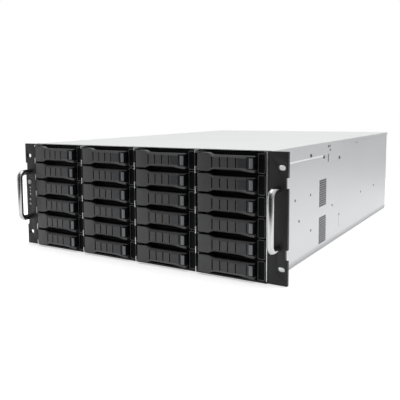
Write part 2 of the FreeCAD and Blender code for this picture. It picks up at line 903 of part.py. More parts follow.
def main():
    os.makedirs("parts", exist_ok=True)
    save("chassis_tub", chassis_tub())
    save("front_top_cover", front_top_cover())
    save("rear_top_cover", rear_top_cover())
    save("rear_panel", rear_panel())
    save("drive_cage", Part.makeCompound([cage_wall(index) for index in range(columns + 1)]))
    save_carriers()
    save("left_ear", left_ear())
    save("right_ear", rack_ear())
    save("front_handles", front_handles())
    save("power_button", ear_button(power_height, power_radius))
    save("reset_button", ear_button(reset_height, small_radius))
    save("mute_button", ear_button(mute_height, small_radius))
    save("status_light_pipes", status_light_pipes())
    save("control_board", control_board())
    save("backplane", backplane())
    save("backplane_connectors", backplane_connectors())
    save("fan_wall", fan_wall())
    save("fan_frames", fan_frames())
    rotor = fan_rotor()
    for index in range(fans):
        place = Vector(fan_x(index), fan_wall_back, fan_middle)
        save("fan_rotor_%d" % (index + 1), rotor.translated(place))
    save("psu_cage", psu_cage())
    for index in range(psu_count):
        save("psu_module_%d" % (index + 1), psu_module(index))
    save("slot_covers", slot_covers())
    save("board_standoffs", board_standoffs())
    save("cover_thumbscrews", cover_thumbscrews())


main()
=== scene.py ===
import math

import bmesh
import bpy
from mathutils import Matrix, Vector


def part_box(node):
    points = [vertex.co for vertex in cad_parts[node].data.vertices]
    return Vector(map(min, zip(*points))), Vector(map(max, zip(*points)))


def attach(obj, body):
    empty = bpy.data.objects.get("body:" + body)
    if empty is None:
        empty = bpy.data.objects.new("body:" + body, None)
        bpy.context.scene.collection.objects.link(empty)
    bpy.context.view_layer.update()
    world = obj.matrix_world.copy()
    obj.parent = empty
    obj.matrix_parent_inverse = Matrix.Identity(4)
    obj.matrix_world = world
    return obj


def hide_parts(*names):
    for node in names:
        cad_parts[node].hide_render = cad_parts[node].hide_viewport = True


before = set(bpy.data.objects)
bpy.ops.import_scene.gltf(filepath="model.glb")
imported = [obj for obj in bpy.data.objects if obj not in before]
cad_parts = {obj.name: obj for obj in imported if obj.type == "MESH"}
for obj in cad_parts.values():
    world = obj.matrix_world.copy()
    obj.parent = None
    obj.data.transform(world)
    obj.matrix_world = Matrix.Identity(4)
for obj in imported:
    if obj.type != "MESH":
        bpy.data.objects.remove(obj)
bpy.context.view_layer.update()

# Drawings below are in millimetres: x to the right, y back from the rack plane, z up from the floor
mm = 0.001
earPlate = 5.0
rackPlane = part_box("right_ear")[0].y / mm + earPlate
toFrame = Matrix.Scale(mm, 4) @ Matrix.Translation((0, rackPlane, 0))
rows = 6
columns = 4


def pick(sizes, names):
    return [sizes[name] for name in names.split()]


def operator(operation, swapped=False):
    def combine(self, other):
        first, second = (other, self) if swapped else (self, other)
        return self.nodes.add("ShaderNodeMath", {"operation": operation}, {0: first, 1: second})
    return combine


class Sock:
    # One output socket, used in sums as if it were a number
    def __init__(self, nodes, socket):
        self.nodes = nodes
        self.socket = socket

    def alone(self, operation):
        return self.nodes.add("ShaderNodeMath", {"operation": operation}, {0: self})

    __add__, __radd__ = operator("ADD"), operator("ADD", True)
    __sub__, __rsub__ = operator("SUBTRACT"), operator("SUBTRACT", True)
    __mul__, __rmul__ = operator("MULTIPLY"), operator("MULTIPLY", True)
    __truediv__, __rtruediv__ = operator("DIVIDE"), operator("DIVIDE", True)
    __mod__, __rmod__ = operator("MODULO"), operator("MODULO", True)
    __gt__, __lt__ = operator("GREATER_THAN"), operator("LESS_THAN")


class Nodes:
    # A node tree, and the one way to put nodes in it
    def __init__(self, tree):
        self.tree = tree
        tree.nodes.clear()

    def add(self, kind, settings=None, sockets=None, out=0):
        node = self.tree.nodes.new(kind)
        for name, value in (settings or {}).items():
            if name == "stops":
                for element, (place, colour) in zip(node.color_ramp.elements, value):
                    element.position = place
                    element.color = (*colour, 1.0)
            else:
                setattr(node, name, value)
        for name, value in (sockets or {}).items():
            if isinstance(value, Sock):
                self.tree.links.new(value.socket, node.inputs[name])
            else:
                node.inputs[name].default_value = value
        return Sock(self, node.outputs[out]) if len(node.outputs) else None

    def axis(self, vector, name):
        return self.add("ShaderNodeSeparateXYZ", {}, {"Vector": vector}, name)


class Finish(Nodes):
    # The nodes of a material, or of the world
    def __init__(self, owner):
        owner.use_nodes = True
        super().__init__(owner.node_tree)
        self.owner = owner

    def coords(self, stretch=(1.0, 1.0, 1.0)):
        place = self.add("ShaderNodeTexCoord", out="Object")
        return self.add("ShaderNodeMapping", {}, {"Vector": place, "Scale": stretch})

    def noise(self, perMetre, detail, stretch=(1.0, 1.0, 1.0)):
        sockets = {"Vector": self.coords(stretch), "Scale": perMetre, "Detail": detail}
        return self.add("ShaderNodeTexNoise", {}, sockets)

    def ramp(self, value, stops):
        return self.add("ShaderNodeValToRGB", {"stops": stops}, {"Fac": value})

    def between(self, value, limits, curve="SMOOTHSTEP"):
        labels = ("From Min", "From Max", "To Min", "To Max")
        sockets = {"Value": value, **dict(zip(labels, limits))}
        return self.add("ShaderNodeMapRange", {"interpolation_type": curve}, sockets)

    def mix(self, share, first, second):
        return self.add("ShaderNodeMix", {"data_type": "RGBA"}, {0: share, 6: first, 7: second}, 2)

    def bump(self, height, strength, depth):
        sockets = {"Height": height, "Strength": strength, "Distance": depth}
        return self.add("ShaderNodeBump", {}, sockets)

    def close(self, sockets):
        shader = self.add("ShaderNodeBsdfPrincipled", {}, sockets)
        self.add("ShaderNodeOutputMaterial", {}, {"Surface": shader})
        return self.owner


def newFinish(name):
    return Finish(bpy.data.materials.new(name))


# Height of the painted shade along the bottom of the steel
floorShadeHeight = 12.0 * mm


def rolledSteel(name, pale, dark, metal, rough, foot=None):
    # Zinc coated sheet: broad clouding, faint spangle and fine rolling lines along its length
    # foot is a painted shade: the colour that the sheet darkens to in the last millimetres above the floor, where the
    # floor's contact shadow falls
    finish = newFinish(name)
    cloud = finish.noise(5.0, 2.0)
    lines = finish.noise(420.0, 2.0, (1.0, 0.03, 1.0))
    spangle = finish.add(
        "ShaderNodeTexVoronoi", {"feature": "F1"}, {"Vector": finish.coords(), "Scale": 320.0}, "Color")
    grain = finish.add("ShaderNodeSeparateColor", {}, {"Color": spangle}, "Red")
    shade = cloud * 0.7 + lines * 0.2 + grain * 0.1
    tint = finish.ramp(shade, [(0.25, dark), (0.75, pale)])
    # Painted shade: darker towards the floor, blending to the foot colour at the bottom
    if foot:
        rise = finish.between(finish.axis(finish.coords(), "Z"), (0.0, floorShadeHeight), "LINEAR")
        tint = finish.mix(rise, (*foot, 1.0), tint)
    return finish.close({
        "Base Color": tint,
        "Metallic": metal,
        "Roughness": rough - 0.05 + shade * 0.1,
        "Normal": finish.bump(lines + grain * 0.2, 0.025, 0.0003),
    })


def powderCoat(name, colour, lighter, rough, grit, shine):
    # Baked powder: orange peel, with slightly rubbed patches
    finish = newFinish(name)
    peel = finish.noise(grit, 1.0)
    rubbed = finish.noise(24.0, 4.0)
    return finish.close({
        "Base Color": finish.ramp(rubbed * 0.7 + peel * 0.3, [(0.35, colour), (0.75, lighter)]),
        "Roughness": rough + rubbed * 0.14,
        "Specular IOR Level": shine,
        "Normal": finish.bump(peel, 0.22, 0.0003),
    })


def mouldedPlastic(name, colour, lighter, rough, grain, strength=0.25, shine=0.5):
    # Spark eroded mould texture
    finish = newFinish(name)
    pits = finish.noise(grain, 3.0)
    flow = finish.noise(16.0, 2.0, (1.0, 1.0, 3.0))
    return finish.close({
        "Base Color": finish.ramp(flow * 0.6 + pits * 0.4, [(0.3, colour), (0.7, lighter)]),
        "Roughness": rough + pits * 0.12,
        "Specular IOR Level": shine,
        "Normal": finish.bump(pits, strength, 0.00015),
    })


def polishedBar(name, pale, dark, rough):
    # Plated bar with faint polishing marks
    finish = newFinish(name)
    marks = finish.noise(700.0, 3.0, (1.0, 1.0, 0.08))
    return finish.close({
        "Base Color": finish.ramp(marks, [(0.3, dark), (0.7, pale)]),
        "Metallic": 1.0,
        "Roughness": rough + marks * 0.07,
        "Normal": finish.bump(marks, 0.03, 0.0002),
    })


def circuitBoard(name, mask, track):
    # Solder mask over straight tracks, which run up or across by patches of the board
    finish = newFinish(name)
    perMetre, wide = 520.0, 0.42
    place = finish.coords()
    patch = finish.noise(38.0, 0.0)
    upright, level = ((finish.axis(place, axis) * perMetre).alone("FRACT") < wide for axis in "XZ")
    lines = upright * (patch > 0.52) + level * (patch < 0.46)
    mottle = finish.noise(140.0, 2.0)
    return finish.close({
        "Base Color": finish.mix(lines * 0.8 + mottle * 0.2, (*mask, 1.0), (*track, 1.0)),
        "Roughness": 0.34 + mottle * 0.1,
        "Normal": finish.bump(lines, 0.25, 0.00012),
    })


finishes = {
    # The last colour of the steel is a painted shade along its bottom edge
    "steel": rolledSteel(
        "folded zinc steel", (0.645, 0.655, 0.665), (0.615, 0.625, 0.635), 0.65, 0.5, (0.29, 0.29, 0.30)),
    # Paler copy of the zinc steel for the covers' tops: painted light on the faces that look up
    "cover": rolledSteel("cover zinc steel painted lighter on top", (0.76, 0.77, 0.77), (0.735, 0.745, 0.745), 0.65, 0.5),
    # Darker copy of the zinc steel for parts inside the body: painted shade
    "inside": rolledSteel("inner zinc steel painted in shade", (0.56, 0.57, 0.58), (0.46, 0.47, 0.48), 0.8, 0.36),
    # Dark copy of the zinc steel for the vent fields and the lance: painted shade of the dark inside seen through the
    # holes
    "vent": rolledSteel("punched vent steel painted with shade", (0.31, 0.31, 0.33), (0.27, 0.27, 0.285), 0.5, 0.45),
    # Paler copy of the zinc steel: painted highlight on the bay wall edges and the cover hems; the slot blanks take it
    # too
    "bright": rolledSteel("bay wall steel painted with highlight", (0.86, 0.87, 0.87), (0.76, 0.77, 0.77), 0.8, 0.3),
    "ear": powderCoat("black ear powder", (0.012, 0.012, 0.0125), (0.021, 0.021, 0.0215), 0.46, 1500.0, 0.36),
    "handle": polishedBar("polished handle plate", (0.56, 0.56, 0.56), (0.45, 0.45, 0.46), 0.08),
    "tray": powderCoat("carrier tray black", (0.008, 0.008, 0.009), (0.014, 0.014, 0.015), 0.5, 1300.0, 0.2),
    "bezel": mouldedPlastic(
        "carrier bezel plastic", (0.003, 0.003, 0.0035), (0.006, 0.006, 0.0065), 0.5, 2600.0, 0.25, 0.12),
    "panel": mouldedPlastic(
        "end panel plastic", (0.002, 0.0025, 0.003), (0.004, 0.0045, 0.005), 0.4, 2400.0, 0.15, 0.08),
    "rim": mouldedPlastic("panel rim plastic", (0.050, 0.051, 0.052), (0.064, 0.065, 0.066), 0.4, 2400.0, 0.15, 0.5),
    "lever": mouldedPlastic("lever plastic", (0.030, 0.030, 0.030), (0.042, 0.042, 0.042), 0.38, 2200.0, 0.2, 0.55),
    "release": mouldedPlastic(
        "release plate gloss", (0.016, 0.019, 0.023), (0.024, 0.028, 0.032), 0.28, 900.0, 0.04, 0.5),
    "slider": mouldedPlastic("slider grey plastic", (0.13, 0.14, 0.145), (0.17, 0.18, 0.185), 0.24, 2000.0, 0.06, 0.5),
    "black": mouldedPlastic("black fan plastic", (0.010, 0.010, 0.011), (0.022, 0.022, 0.023), 0.40, 1800.0),
    "button": mouldedPlastic("pale button plastic", (0.34, 0.34, 0.35), (0.46, 0.46, 0.47), 0.3, 1800.0, 0.1),
    "light": mouldedPlastic("light pipe", (0.50, 0.52, 0.54), (0.66, 0.68, 0.70), 0.15, 500.0, 0.03),
    "board": circuitBoard("green solder mask", (0.006, 0.052, 0.022), (0.014, 0.105, 0.045)),
    "brass": polishedBar("turned brass", (0.72, 0.52, 0.22), (0.55, 0.38, 0.15), 0.24),
    "screw": polishedBar("plated screw", (0.62, 0.62, 0.63), (0.42, 0.42, 0.43), 0.26),
    "darkScrew": polishedBar("dark plated screw", (0.16, 0.16, 0.165), (0.09, 0.09, 0.095), 0.34),
    "supply": rolledSteel("power supply steel", (0.58, 0.59, 0.60), (0.46, 0.47, 0.48), 0.8, 0.38),
}
print("finishes made:", len(finishes))


# Mesh helpers: points are (x, y, z) in millimetres

def skin(shape, layers):
    # Faces between rings of as many vertices
    made = []
    for low, high in zip(layers, layers[1:]):
        for index in range(len(low)):
            after = (index + 1) % len(low)
            made.append(shape.faces.new((low[index], low[after], high[after], high[index])))
    return made


def loft(shape, rings):
    # Rings of points, skinned in order and closed at both ends
    layers = [[shape.verts.new(point) for point in points] for points in rings]
    made = skin(shape, layers)
    return made + [shape.faces.new(layers[0][::-1]), shape.faces.new(layers[-1])]


def onAxis(axis, along, u, v):
    return {"x": (along, u, v), "y": (u, along, v), "z": (u, v, along)}[axis]


def prism(shape, axis, start, end, corners):
    loft(shape, [[onAxis(axis, along, u, v) for u, v in corners] for along in (start, end)])
    return shape


def rectangle(u0, u1, v0, v1):
    return [(u0, v0), (u1, v0), (u1, v1), (u0, v1)]


def arc(u, v, radius, degrees):
    angles = [math.radians(degree) for degree in degrees]
    return [(u + radius * math.cos(angle), v + radius * math.sin(angle)) for angle in angles]


def ring(u, v, radius, sides, turn=0.0):
    return arc(u, v, radius, [360 * index / sides + turn for index in range(sides)])


def outlineOf(sides, reach):
    # Points at even angles, each as far out as reach says for its direction
    points = []
    for u, v in ring(0, 0, 1, sides):
        far = reach(abs(u), abs(v))
        points.append((u * far, v * far))
    return points


def roundedRectangle(u0, u1, v0, v1, radius):
    left, right, low, high = u0 + radius, u1 - radius, v0 + radius, v1 - radius
    corners = []
    for quarter, (u, v) in enumerate(((right, high), (left, high), (left, low), (right, low))):
        corners += arc(u, v, radius, [90 * quarter + 22.5 * step for step in range(5)])
    return corners


def block(shape, low, high):
    return prism(shape, "z", low[2], high[2], rectangle(low[0], high[0], low[1], high[1]))


def turned(shape, axis, centre, profile, sides):
    # Stepped round piece: profile lists (along the axis, radius)
    rings = []
    for along, radius in profile:
        rings.append([onAxis(axis, along, u, v) for u, v in ring(*centre, radius, sides)])
    loft(shape, rings)
    return shape


def windowPlate(shape, axis, start, end, outer, windows):
    # Flat plate (u0, u1, v0, v1) with square windows, as cells between the window edges
    us = sorted({u for box in (outer, *windows) for u in box[:2]})
    vs = sorted({v for box in (outer, *windows) for v in box[2:]})
    points = {}

    def solid(i, j):
        if not (0 <= i < len(us) - 1 and 0 <= j < len(vs) - 1):
            return False
        u, v = (us[i] + us[i + 1]) / 2, (vs[j] + vs[j + 1]) / 2
        return not any(u0 < u < u1 and v0 < v < v1 for u0, u1, v0, v1 in windows)

    def corner(along, spot):
        if (along, spot) not in points:
            points[along, spot] = shape.verts.new(onAxis(axis, along, us[spot[0]], vs[spot[1]]))
        return points[along, spot]

    for i in range(len(us) - 1):
        for j in range(len(vs) - 1):
            if not solid(i, j):
                continue
            square = [(i, j), (i + 1, j), (i + 1, j + 1), (i, j + 1)]
            for along in (start, end):
                shape.faces.new([corner(along, spot) for spot in square])
            for side, beside in enumerate(((i, j - 1), (i + 1, j), (i, j + 1), (i - 1, j))):
                if not solid(*beside):
                    p, q = square[side], square[(side + 1) % 4]
                    shape.faces.new([corner(start, p), corner(start, q), corner(end, q), corner(end, p)])
    return shape


def foldedSheet(shape, path, breaks, skip=None):
    # Single skin: path of (x, z) corners swept over the y breaks, leaving out faces that skip() names
    layers = [[shape.verts.new((x, y, z)) for x, z in path] for y in breaks]
    for j, (near, far) in enumerate(zip(layers, layers[1:])):
        for i in range(len(path) - 1):
            if not (skip and skip(i, j)):
                shape.faces.new((near[i], near[i + 1], far[i + 1], far[i]))
    return shape


def arcPath(corners, radius):
    # (u, v) path with every inner corner rounded
    path = [corners[0]]
    for before, here, after in zip(corners, corners[1:], corners[2:]):
        corner = Vector(here)
        start, end = Vector(before) - corner, Vector(after) - corner
        reach = min(radius, start.length / 2, end.length / 2)
        a, b = corner + start.normalized() * reach, corner + end.normalized() * reach
        for t in (0.0, 0.25, 0.5, 0.75, 1.0):
            path.append(tuple((1 - t) ** 2 * a + 2 * t * (1 - t) * corner + t * t * b))
    path.append(corners[-1])
    return path


def placed(name, data):
    piece = bpy.data.objects.new(name, data)
    bpy.context.collection.objects.link(piece)
    return piece


def meshPiece(name, shape, used, place=Matrix()):
    mesh = bpy.data.meshes.new(name)
    shape.to_mesh(mesh)
    shape.free()
    mesh.transform(place)
    for finish in used:
        mesh.materials.append(finishes[finish])
    return placed(name, mesh)


def crisp(piece, angle=35):
    # Smooth faces, with sharp edges where they meet at more than the angle
    piece.data.shade_smooth()
    piece.data.set_sharp_from_angle(angle=math.radians(angle))
    return piece


def roundEdges(piece, width):
    piece.data.shade_smooth()
    modifier = piece.modifiers.new("edges", "BEVEL")
    modifier.width = width * mm
    modifier.segments = 2
    modifier.limit_method = "ANGLE"
    modifier.angle_limit = math.radians(32)
    modifier.harden_normals = True
    modifier.use_clamp_overlap = True
    return piece


def makePiece(name, shape, used, bevel=0.0):
    bmesh.ops.recalc_face_normals(shape, faces=shape.faces[:])
    piece = meshPiece(name, shape, used, toFrame)
    return roundEdges(piece, bevel) if bevel else crisp(piece)


def roundPiece(name, axis, centre, profile, sides, finish):
    return makePiece(name, turned(bmesh.new(), axis, centre, profile, sides), [finish])


def sheetPiece(name, shape, used, thickness):
    # Folded sheet: its thickness grows on the side away from its normals, then its edges are made crisp
    piece = meshPiece(name, shape, used, toFrame)
    modifier = piece.modifiers.new("sheet", "SOLIDIFY")
    modifier.thickness = thickness * mm
    modifier.offset = -1.0
    modifier.use_even_offset = True
    return crisp(settle(piece))


def settle(piece):
    # Turn a piece's modifiers into plain mesh
    graph = bpy.context.evaluated_depsgraph_get()
    mesh = bpy.data.meshes.new_from_object(piece.evaluated_get(graph), depsgraph=graph)
    piece.modifiers.clear()
    piece.data = mesh
    return piece


def joined(name, pieces):
    for piece in pieces:
        settle(piece)
    bpy.ops.object.select_all(action="DESELECT")
    for piece in pieces:
        piece.select_set(True)
    bpy.context.view_layer.objects.active = pieces[0]
    bpy.ops.object.join()
    pieces[0].name = name
    return pieces[0]


def softened(name, node, finish, bevel):
    # A CAD node's own shape with its edges rounded
    shape = bmesh.new()
    shape.from_mesh(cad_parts[node].data)
    bmesh.ops.remove_doubles(shape, verts=shape.verts[:], dist=0.00002)
    bmesh.ops.dissolve_limit(
        shape, angle_limit=math.radians(2), verts=shape.verts[:], edges=shape.edges[:])
    for face in shape.faces:
        face.material_index = 0
    return roundEdges(meshPiece(name, shape, [finish]), bevel)


def onBody(piece, body, slot, *replaced):
    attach(piece, body)
    if replaced:
        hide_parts(*replaced)


# Geometry Nodes: trees that repeat a small part

class Grower(Nodes):
    def __init__(self, name, inputs):
        super().__init__(bpy.data.node_groups.new(name, "GeometryNodeTree"))
        face = self.tree.interface
        labels = {"Geometry": "Geometry", **inputs, "Finish": "Material"}
        for label, kind in labels.items():
            face.new_socket(label, in_out="INPUT", socket_type="NodeSocket" + kind)
        face.new_socket("Geometry", in_out="OUTPUT", socket_type="NodeSocketGeometry")
        outputs = self.tree.nodes.new("NodeGroupInput").outputs
        self.given = {label: Sock(self, outputs[label]) for label in labels}

    def spread(self, points, part, turn=None):
        # A copy of a part on each point
        shape = self.add("GeometryNodeObjectInfo", {}, {"Object": self.given[part]}, "Geometry")
        sockets = {"Points": points, "Instance": shape}
        if turn:
            sockets["Rotation"] = turn
        return self.close(self.add("GeometryNodeInstanceOnPoints", {}, sockets))

    def close(self, geometry):
        plain = self.add("GeometryNodeRealizeInstances", {}, {"Geometry": geometry})
        sockets = {"Geometry": plain, "Material": self.given["Finish"]}
        self.add("NodeGroupOutput", {}, {"Geometry": self.add("GeometryNodeSetMaterial", {}, sockets)})
        return self.tree


def fieldTree():
    # One cell repeated over a flat field, odd rows moved along by the stagger
    tree = Grower("cell field", {
        "Columns": "Int", "Rows": "Int", "Pitch": "Float", "Row Pitch": "Float", "Stagger": "Float",
        "Cell": "Object"})
    given = tree.given
    width = (given["Columns"] - 1.0) * given["Pitch"]
    depth = (given["Rows"] - 1.0) * given["Row Pitch"]
    grid = tree.add("GeometryNodeMeshGrid", {}, {
        "Size X": width, "Size Y": depth, "Vertices X": given["Columns"], "Vertices Y": given["Rows"]})
    fromEdge = tree.axis(tree.add("GeometryNodeInputPosition"), "Y") + depth * 0.5
    odd = (fromEdge / given["Row Pitch"]).alone("ROUND") % 2.0
    shift = tree.add("ShaderNodeCombineXYZ", {}, {"X": odd * given["Stagger"]})
    moved = tree.add("GeometryNodeSetPosition", {}, {"Geometry": grid, "Offset": shift})
    return tree.spread(moved, "Cell")


def wheelTree():
    # One part repeated round a circle, each copy turned to face outward
    tree = Grower("part wheel", {"Count": "Int", "Radius": "Float", "Part": "Object"})
    count, radius = pick(tree.given, "Count Radius")
    circle = tree.add("GeometryNodeMeshCircle", {}, {"Vertices": count, "Radius": radius})
    angle = tree.add("GeometryNodeInputIndex") * (2 * math.pi / count)
    return tree.spread(circle, "Part", tree.add("ShaderNodeCombineXYZ", {}, {"Z": angle}))


def scatterTree():
    # One part set on each point of the piece, all turned the same way
    tree = Grower("set parts", {"Part": "Object", "Turn": "Vector"})
    turn = tree.add("FunctionNodeEulerToRotation", {}, {"Euler": tree.given["Turn"]})
    return tree.spread(tree.given["Geometry"], "Part", turn)


def barTree():
    # Round bar along the piece's own edges, with its corners turned
    tree = Grower("bent bar", {"Radius": "Float", "Bend": "Float"})
    edges, radius, bend = pick(tree.given, "Geometry Radius Bend")
    line = tree.add("GeometryNodeMeshToCurve", {}, {"Mesh": edges})
    bent = tree.add("GeometryNodeFilletCurve", {"mode": "POLY"}, {
        "Curve": line, "Radius": bend, "Count": 10, "Limit Radius": True})
    section = tree.add("GeometryNodeCurvePrimitiveCircle", {}, {"Resolution": 28, "Radius": radius})
    return tree.close(tree.add("GeometryNodeCurveToMesh", {}, {
        "Curve": bent, "Profile Curve": section, "Fill Caps": True}))


trees = {"field": fieldTree(), "wheel": wheelTree(), "scatter": scatterTree(), "bar": barTree()}


def grow(name, tree, values, finish, place=Matrix(), points=(), edges=()):
    # Run a tree on a few points, keep its result as plain mesh and put it in place
    mesh = bpy.data.meshes.new(name)
    mesh.from_pydata([Vector(point) for point in points], edges, [])
    piece = placed(name, mesh)
    modifier = piece.modifiers.new("grow", "NODES")
    modifier.node_group = trees[tree]
    values = {**values, "Finish": finishes[finish]}
    for item in trees[tree].interface.items_tree:
        if item.in_out == "INPUT" and item.name in values:
            modifier[item.identifier] = values[item.name]
    settle(piece)
    piece.data.transform(toFrame @ place)
    return piece


def cellOf(shape, finish):
    # A loose part for the trees, still in millimetres
    bmesh.ops.recalc_face_normals(shape, faces=shape.faces[:])
    return meshPiece("cell", shape, [finish])


def discard(*pieces):
    for piece in pieces:
        bpy.data.objects.remove(piece)


def growField(name, shape, counts, pitches, stagger, finish, places):
    # The same field of cells in each of the places
    cell = cellOf(shape, finish)
    values = {"Columns": counts[0], "Rows": counts[1], "Pitch": pitches[0], "Row Pitch": pitches[1],
              "Stagger": stagger, "Cell": cell}
    fields = [grow(name, "field", values, finish, place) for place in places]
    discard(cell)
    return fields


def setParts(name, part, points, finish, turn=(0.0, 0.0, 0.0)):
    return crisp(grow(name, "scatter", {"Part": part, "Turn": turn}, finish, points=points))


def pierced(outline, hole, thickness):
    # Flat cell from an outline to a hole with as many corners
    shape = bmesh.new()
    layers = ((outline, 0.0), (hole, 0.0), (hole, thickness), (outline, thickness))
    skin(shape, [[shape.verts.new((u, v, along)) for u, v in points] for points, along in layers])
    return shape


# Turns that lay a flat field on a wall
ontoFront = Matrix.Rotation(math.radians(90), 4, "X")  # field x along x, field y up, thickness forward
ontoRight = Matrix(((0, 0, 1, 0), (1, 0, 0, 0), (0, 1, 0, 0), (0, 0, 0, 1)))  # x along y, y up, out to the right


def hexGrille(name, window, y, cellSizes, finish):
    # Hexagon cells across a window
    left, right, low, high = window
    pitch, web, thickness = cellSizes
    outer = pitch / math.sqrt(3)
    rowPitch = outer * 1.5
    counts = (int((right - left) / pitch) + 1, int((high - low) / rowPitch) + 1)
    cell = pierced(ring(0, 0, outer, 6, 30), ring(0, 0, outer - web / math.sqrt(3), 6, 30), thickness)
    place = Matrix.Translation(((left + right) / 2 - pitch / 4, y, (low + high) / 2)) @ ontoFront
    return growField(name, cell, counts, (pitch, rowPitch), pitch / 2, finish, [place])[0]


# Camera and stage
cameraSizes = {
    "azimuth": 33.247, "elevation": 5.817, "roll": -0.629, "focalPixels": 549.33,
    "middleColumn": 175.0, "middleRow": 168.0, "place": (500.17, -656.31, 227.09), "picture": 400.0}


def makeCamera(azimuth, elevation, roll, focalPixels, middleColumn, middleRow, place, picture):
    azimuth, elevation, roll = map(math.radians, (azimuth, elevation, roll))
    level = math.cos(elevation)
    back = Vector((math.sin(azimuth) * level, -math.cos(azimuth) * level, math.sin(elevation)))
    right = Vector((math.cos(azimuth), math.sin(azimuth), 0))
    up = back.cross(right)
    across = right * math.cos(roll) + up * math.sin(roll)
    upward = up * math.cos(roll) - right * math.sin(roll)
    data = bpy.data.cameras.new("camera")
    data.sensor_width = 36.0
    data.lens = focalPixels / picture * data.sensor_width
    data.shift_x = 0.5 - middleColumn / picture
    data.shift_y = middleRow / picture - 0.5
    data.clip_end = 50.0
    camera = placed("camera", data)
    x, y, z = place
    turn = Matrix((across, upward, back)).transposed().to_4x4()
    camera.matrix_world = Matrix.Translation(toFrame @ Vector((x, y - earPlate, z))) @ turn
    bpy.context.scene.camera = camera


# Metres here. sky, front and fade list where they start and end, and the values there
stageSizes = {
    "sky": (-0.1, 0.6, 0.52, 1.2), "front": (-0.9, 0.4, 0.1, 1.0), "floor": 1.2,
    "fade": (0.62, 1.05, 1.0, 0.0), "floorColour": (0.97, 0.97, 0.97, 1.0), "floorGlow": 0.48,
    "key": ((0.3, -0.55, 2.3), 1.8, 14.0), "fill": ((-1.0, -1.0, 0.16), 0.7, 1.6), "aim": (0, -0.1, 0.08)}


def makeStage():
    scene = bpy.context.scene
    scene.view_settings.view_transform = "Standard"
    scene.world = bpy.data.worlds.new("studio")
    studio = Finish(scene.world)
    direction = studio.add("ShaderNodeTexCoord", out="Generated")
    # Brighter overhead than at the horizon, and dim in front of the bays
    sky = studio.between(studio.axis(direction, "Z"), stageSizes["sky"])
    front = studio.between(studio.axis(direction, "Y"), stageSizes["front"])
    seen = studio.add("ShaderNodeLightPath", out="Is Camera Ray")
    strength = studio.add("ShaderNodeMix", {}, {"Factor": seen, "A": sky * front, "B": 1.0})
    glow = studio.add("ShaderNodeBackground", {}, {"Color": (1.0, 1.0, 1.0, 1.0), "Strength": strength})
    studio.add("ShaderNodeOutputWorld", {}, {"Surface": glow})
    half = stageSizes["floor"]
    mesh = bpy.data.meshes.new("floor")
    mesh.from_pydata([(x, y, 0) for x, y in rectangle(-half, half, -half, half)], [], [(0, 1, 2, 3)])
    paint = newFinish("pale floor")
    reach = paint.add(
        "ShaderNodeVectorMath", {"operation": "LENGTH"}, {0: paint.coords((1.0, 1.0, 0.0))}, "Value")
    mesh.materials.append(paint.close({
        "Base Color": stageSizes["floorColour"], "Roughness": 0.9, "Specular IOR Level": 0.1,
        "Alpha": paint.between(reach, stageSizes["fade"]),
        "Emission Color": stageSizes["floorColour"], "Emission Strength": stageSizes["floorGlow"]}))
    placed("floor", mesh)
    for name in ("key", "fill"):
        place, size, power = stageSizes[name]
        data = bpy.data.lights.new(name, "AREA")
        data.size, data.energy = size, power
        lamp = placed(name, data)
        lamp.location = place
        aim = Vector(stageSizes["aim"]) - Vector(place)
        lamp.rotation_euler = aim.to_track_quat("-Z", "Y").to_euler()


makeCamera(**cameraSizes)
makeStage()
print("camera and stage ready")


# Drive carriers
carrierSizes = {
    "width": 104.55, "height": 27.6, "front": -7.0, "base": -1.0, "back": 4.0,
    "panel": 92.55, "rim": 0.9, "rimEdge": ((0.0, 0.6), (0.4, 0.15), (0.7, 0.0)), "rimSlope": 0.2,
    "panelRound": (2.6, 0.6), "recess": 1.2, "window": (11.0, 87.55, 5.3, 22.3),
    "lug": (5.5, 13.5, -15.0, 0.9), "lugRoot": 0.5, "pivot": (9.5, -11.0), "pin": 1.25, "pinShort": 0.1,
    "grille": (4.0, 0.9, 1.6), "grilleSink": 3.6, "trayBreaks": (3.5, 30.0, 60.0, 118.0, 148.0, 172.0),
    "trayTop": 23.2, "trayFloor": 0.2, "trayFold": 1.4, "traySheet": 0.9}
leverSizes = {
    "left": 5.5, "right": 90.85, "back": -7.0, "front": -15.0, "middle": 13.8, "wide": 12.7, "narrow": 9.8,
    "shoulder": 21.5, "taper": 30.5, "edge": 0.5, "bevelTall": 3.0, "bevelDeep": 2.5, "nose": 1.6,
    "grooves": (28.6, 40.6, 52.6, 64.6), "grooveWidth": 1.8, "grooveDeep": 2.2, "grooveHalf": 6.0,
    "flare": (66.0, 90.0, 2.4), "fork": 80.05, "arm": 1.5, "armRoot": 0.5, "armTip": (3.0, 0.8, 0.8, 0.2),
    "plate": (67.6, 79.6, 6.1), "plateProud": 0.15, "plateSeat": 1.4, "plateMargin": 0.01, "dish": 0.9,
    "shelf": (79.6, 83.6, -13.4, -12.2)}
sliderSizes = {
    "left": 83.55, "right": 90.05, "low": 5.9, "high": 21.7, "proud": -16.2, "slope": 2.2, "capEdge": (0.6, 0.2),
    "insert": (83.7, 89.6, 6.7), "insertSeat": 1.4, "crown": 1.5, "stem": 86.9, "capBack": -13.6}


def smoothStep(value):
    value = min(max(value, 0.0), 1.0)
    return value * value * (3 - 2 * value)


def leverFlare(x):
    # The lower edge sweeps down to meet the end panel
    start, end, drop = leverSizes["flare"]
    return drop * smoothStep((x - start) / (end - start))


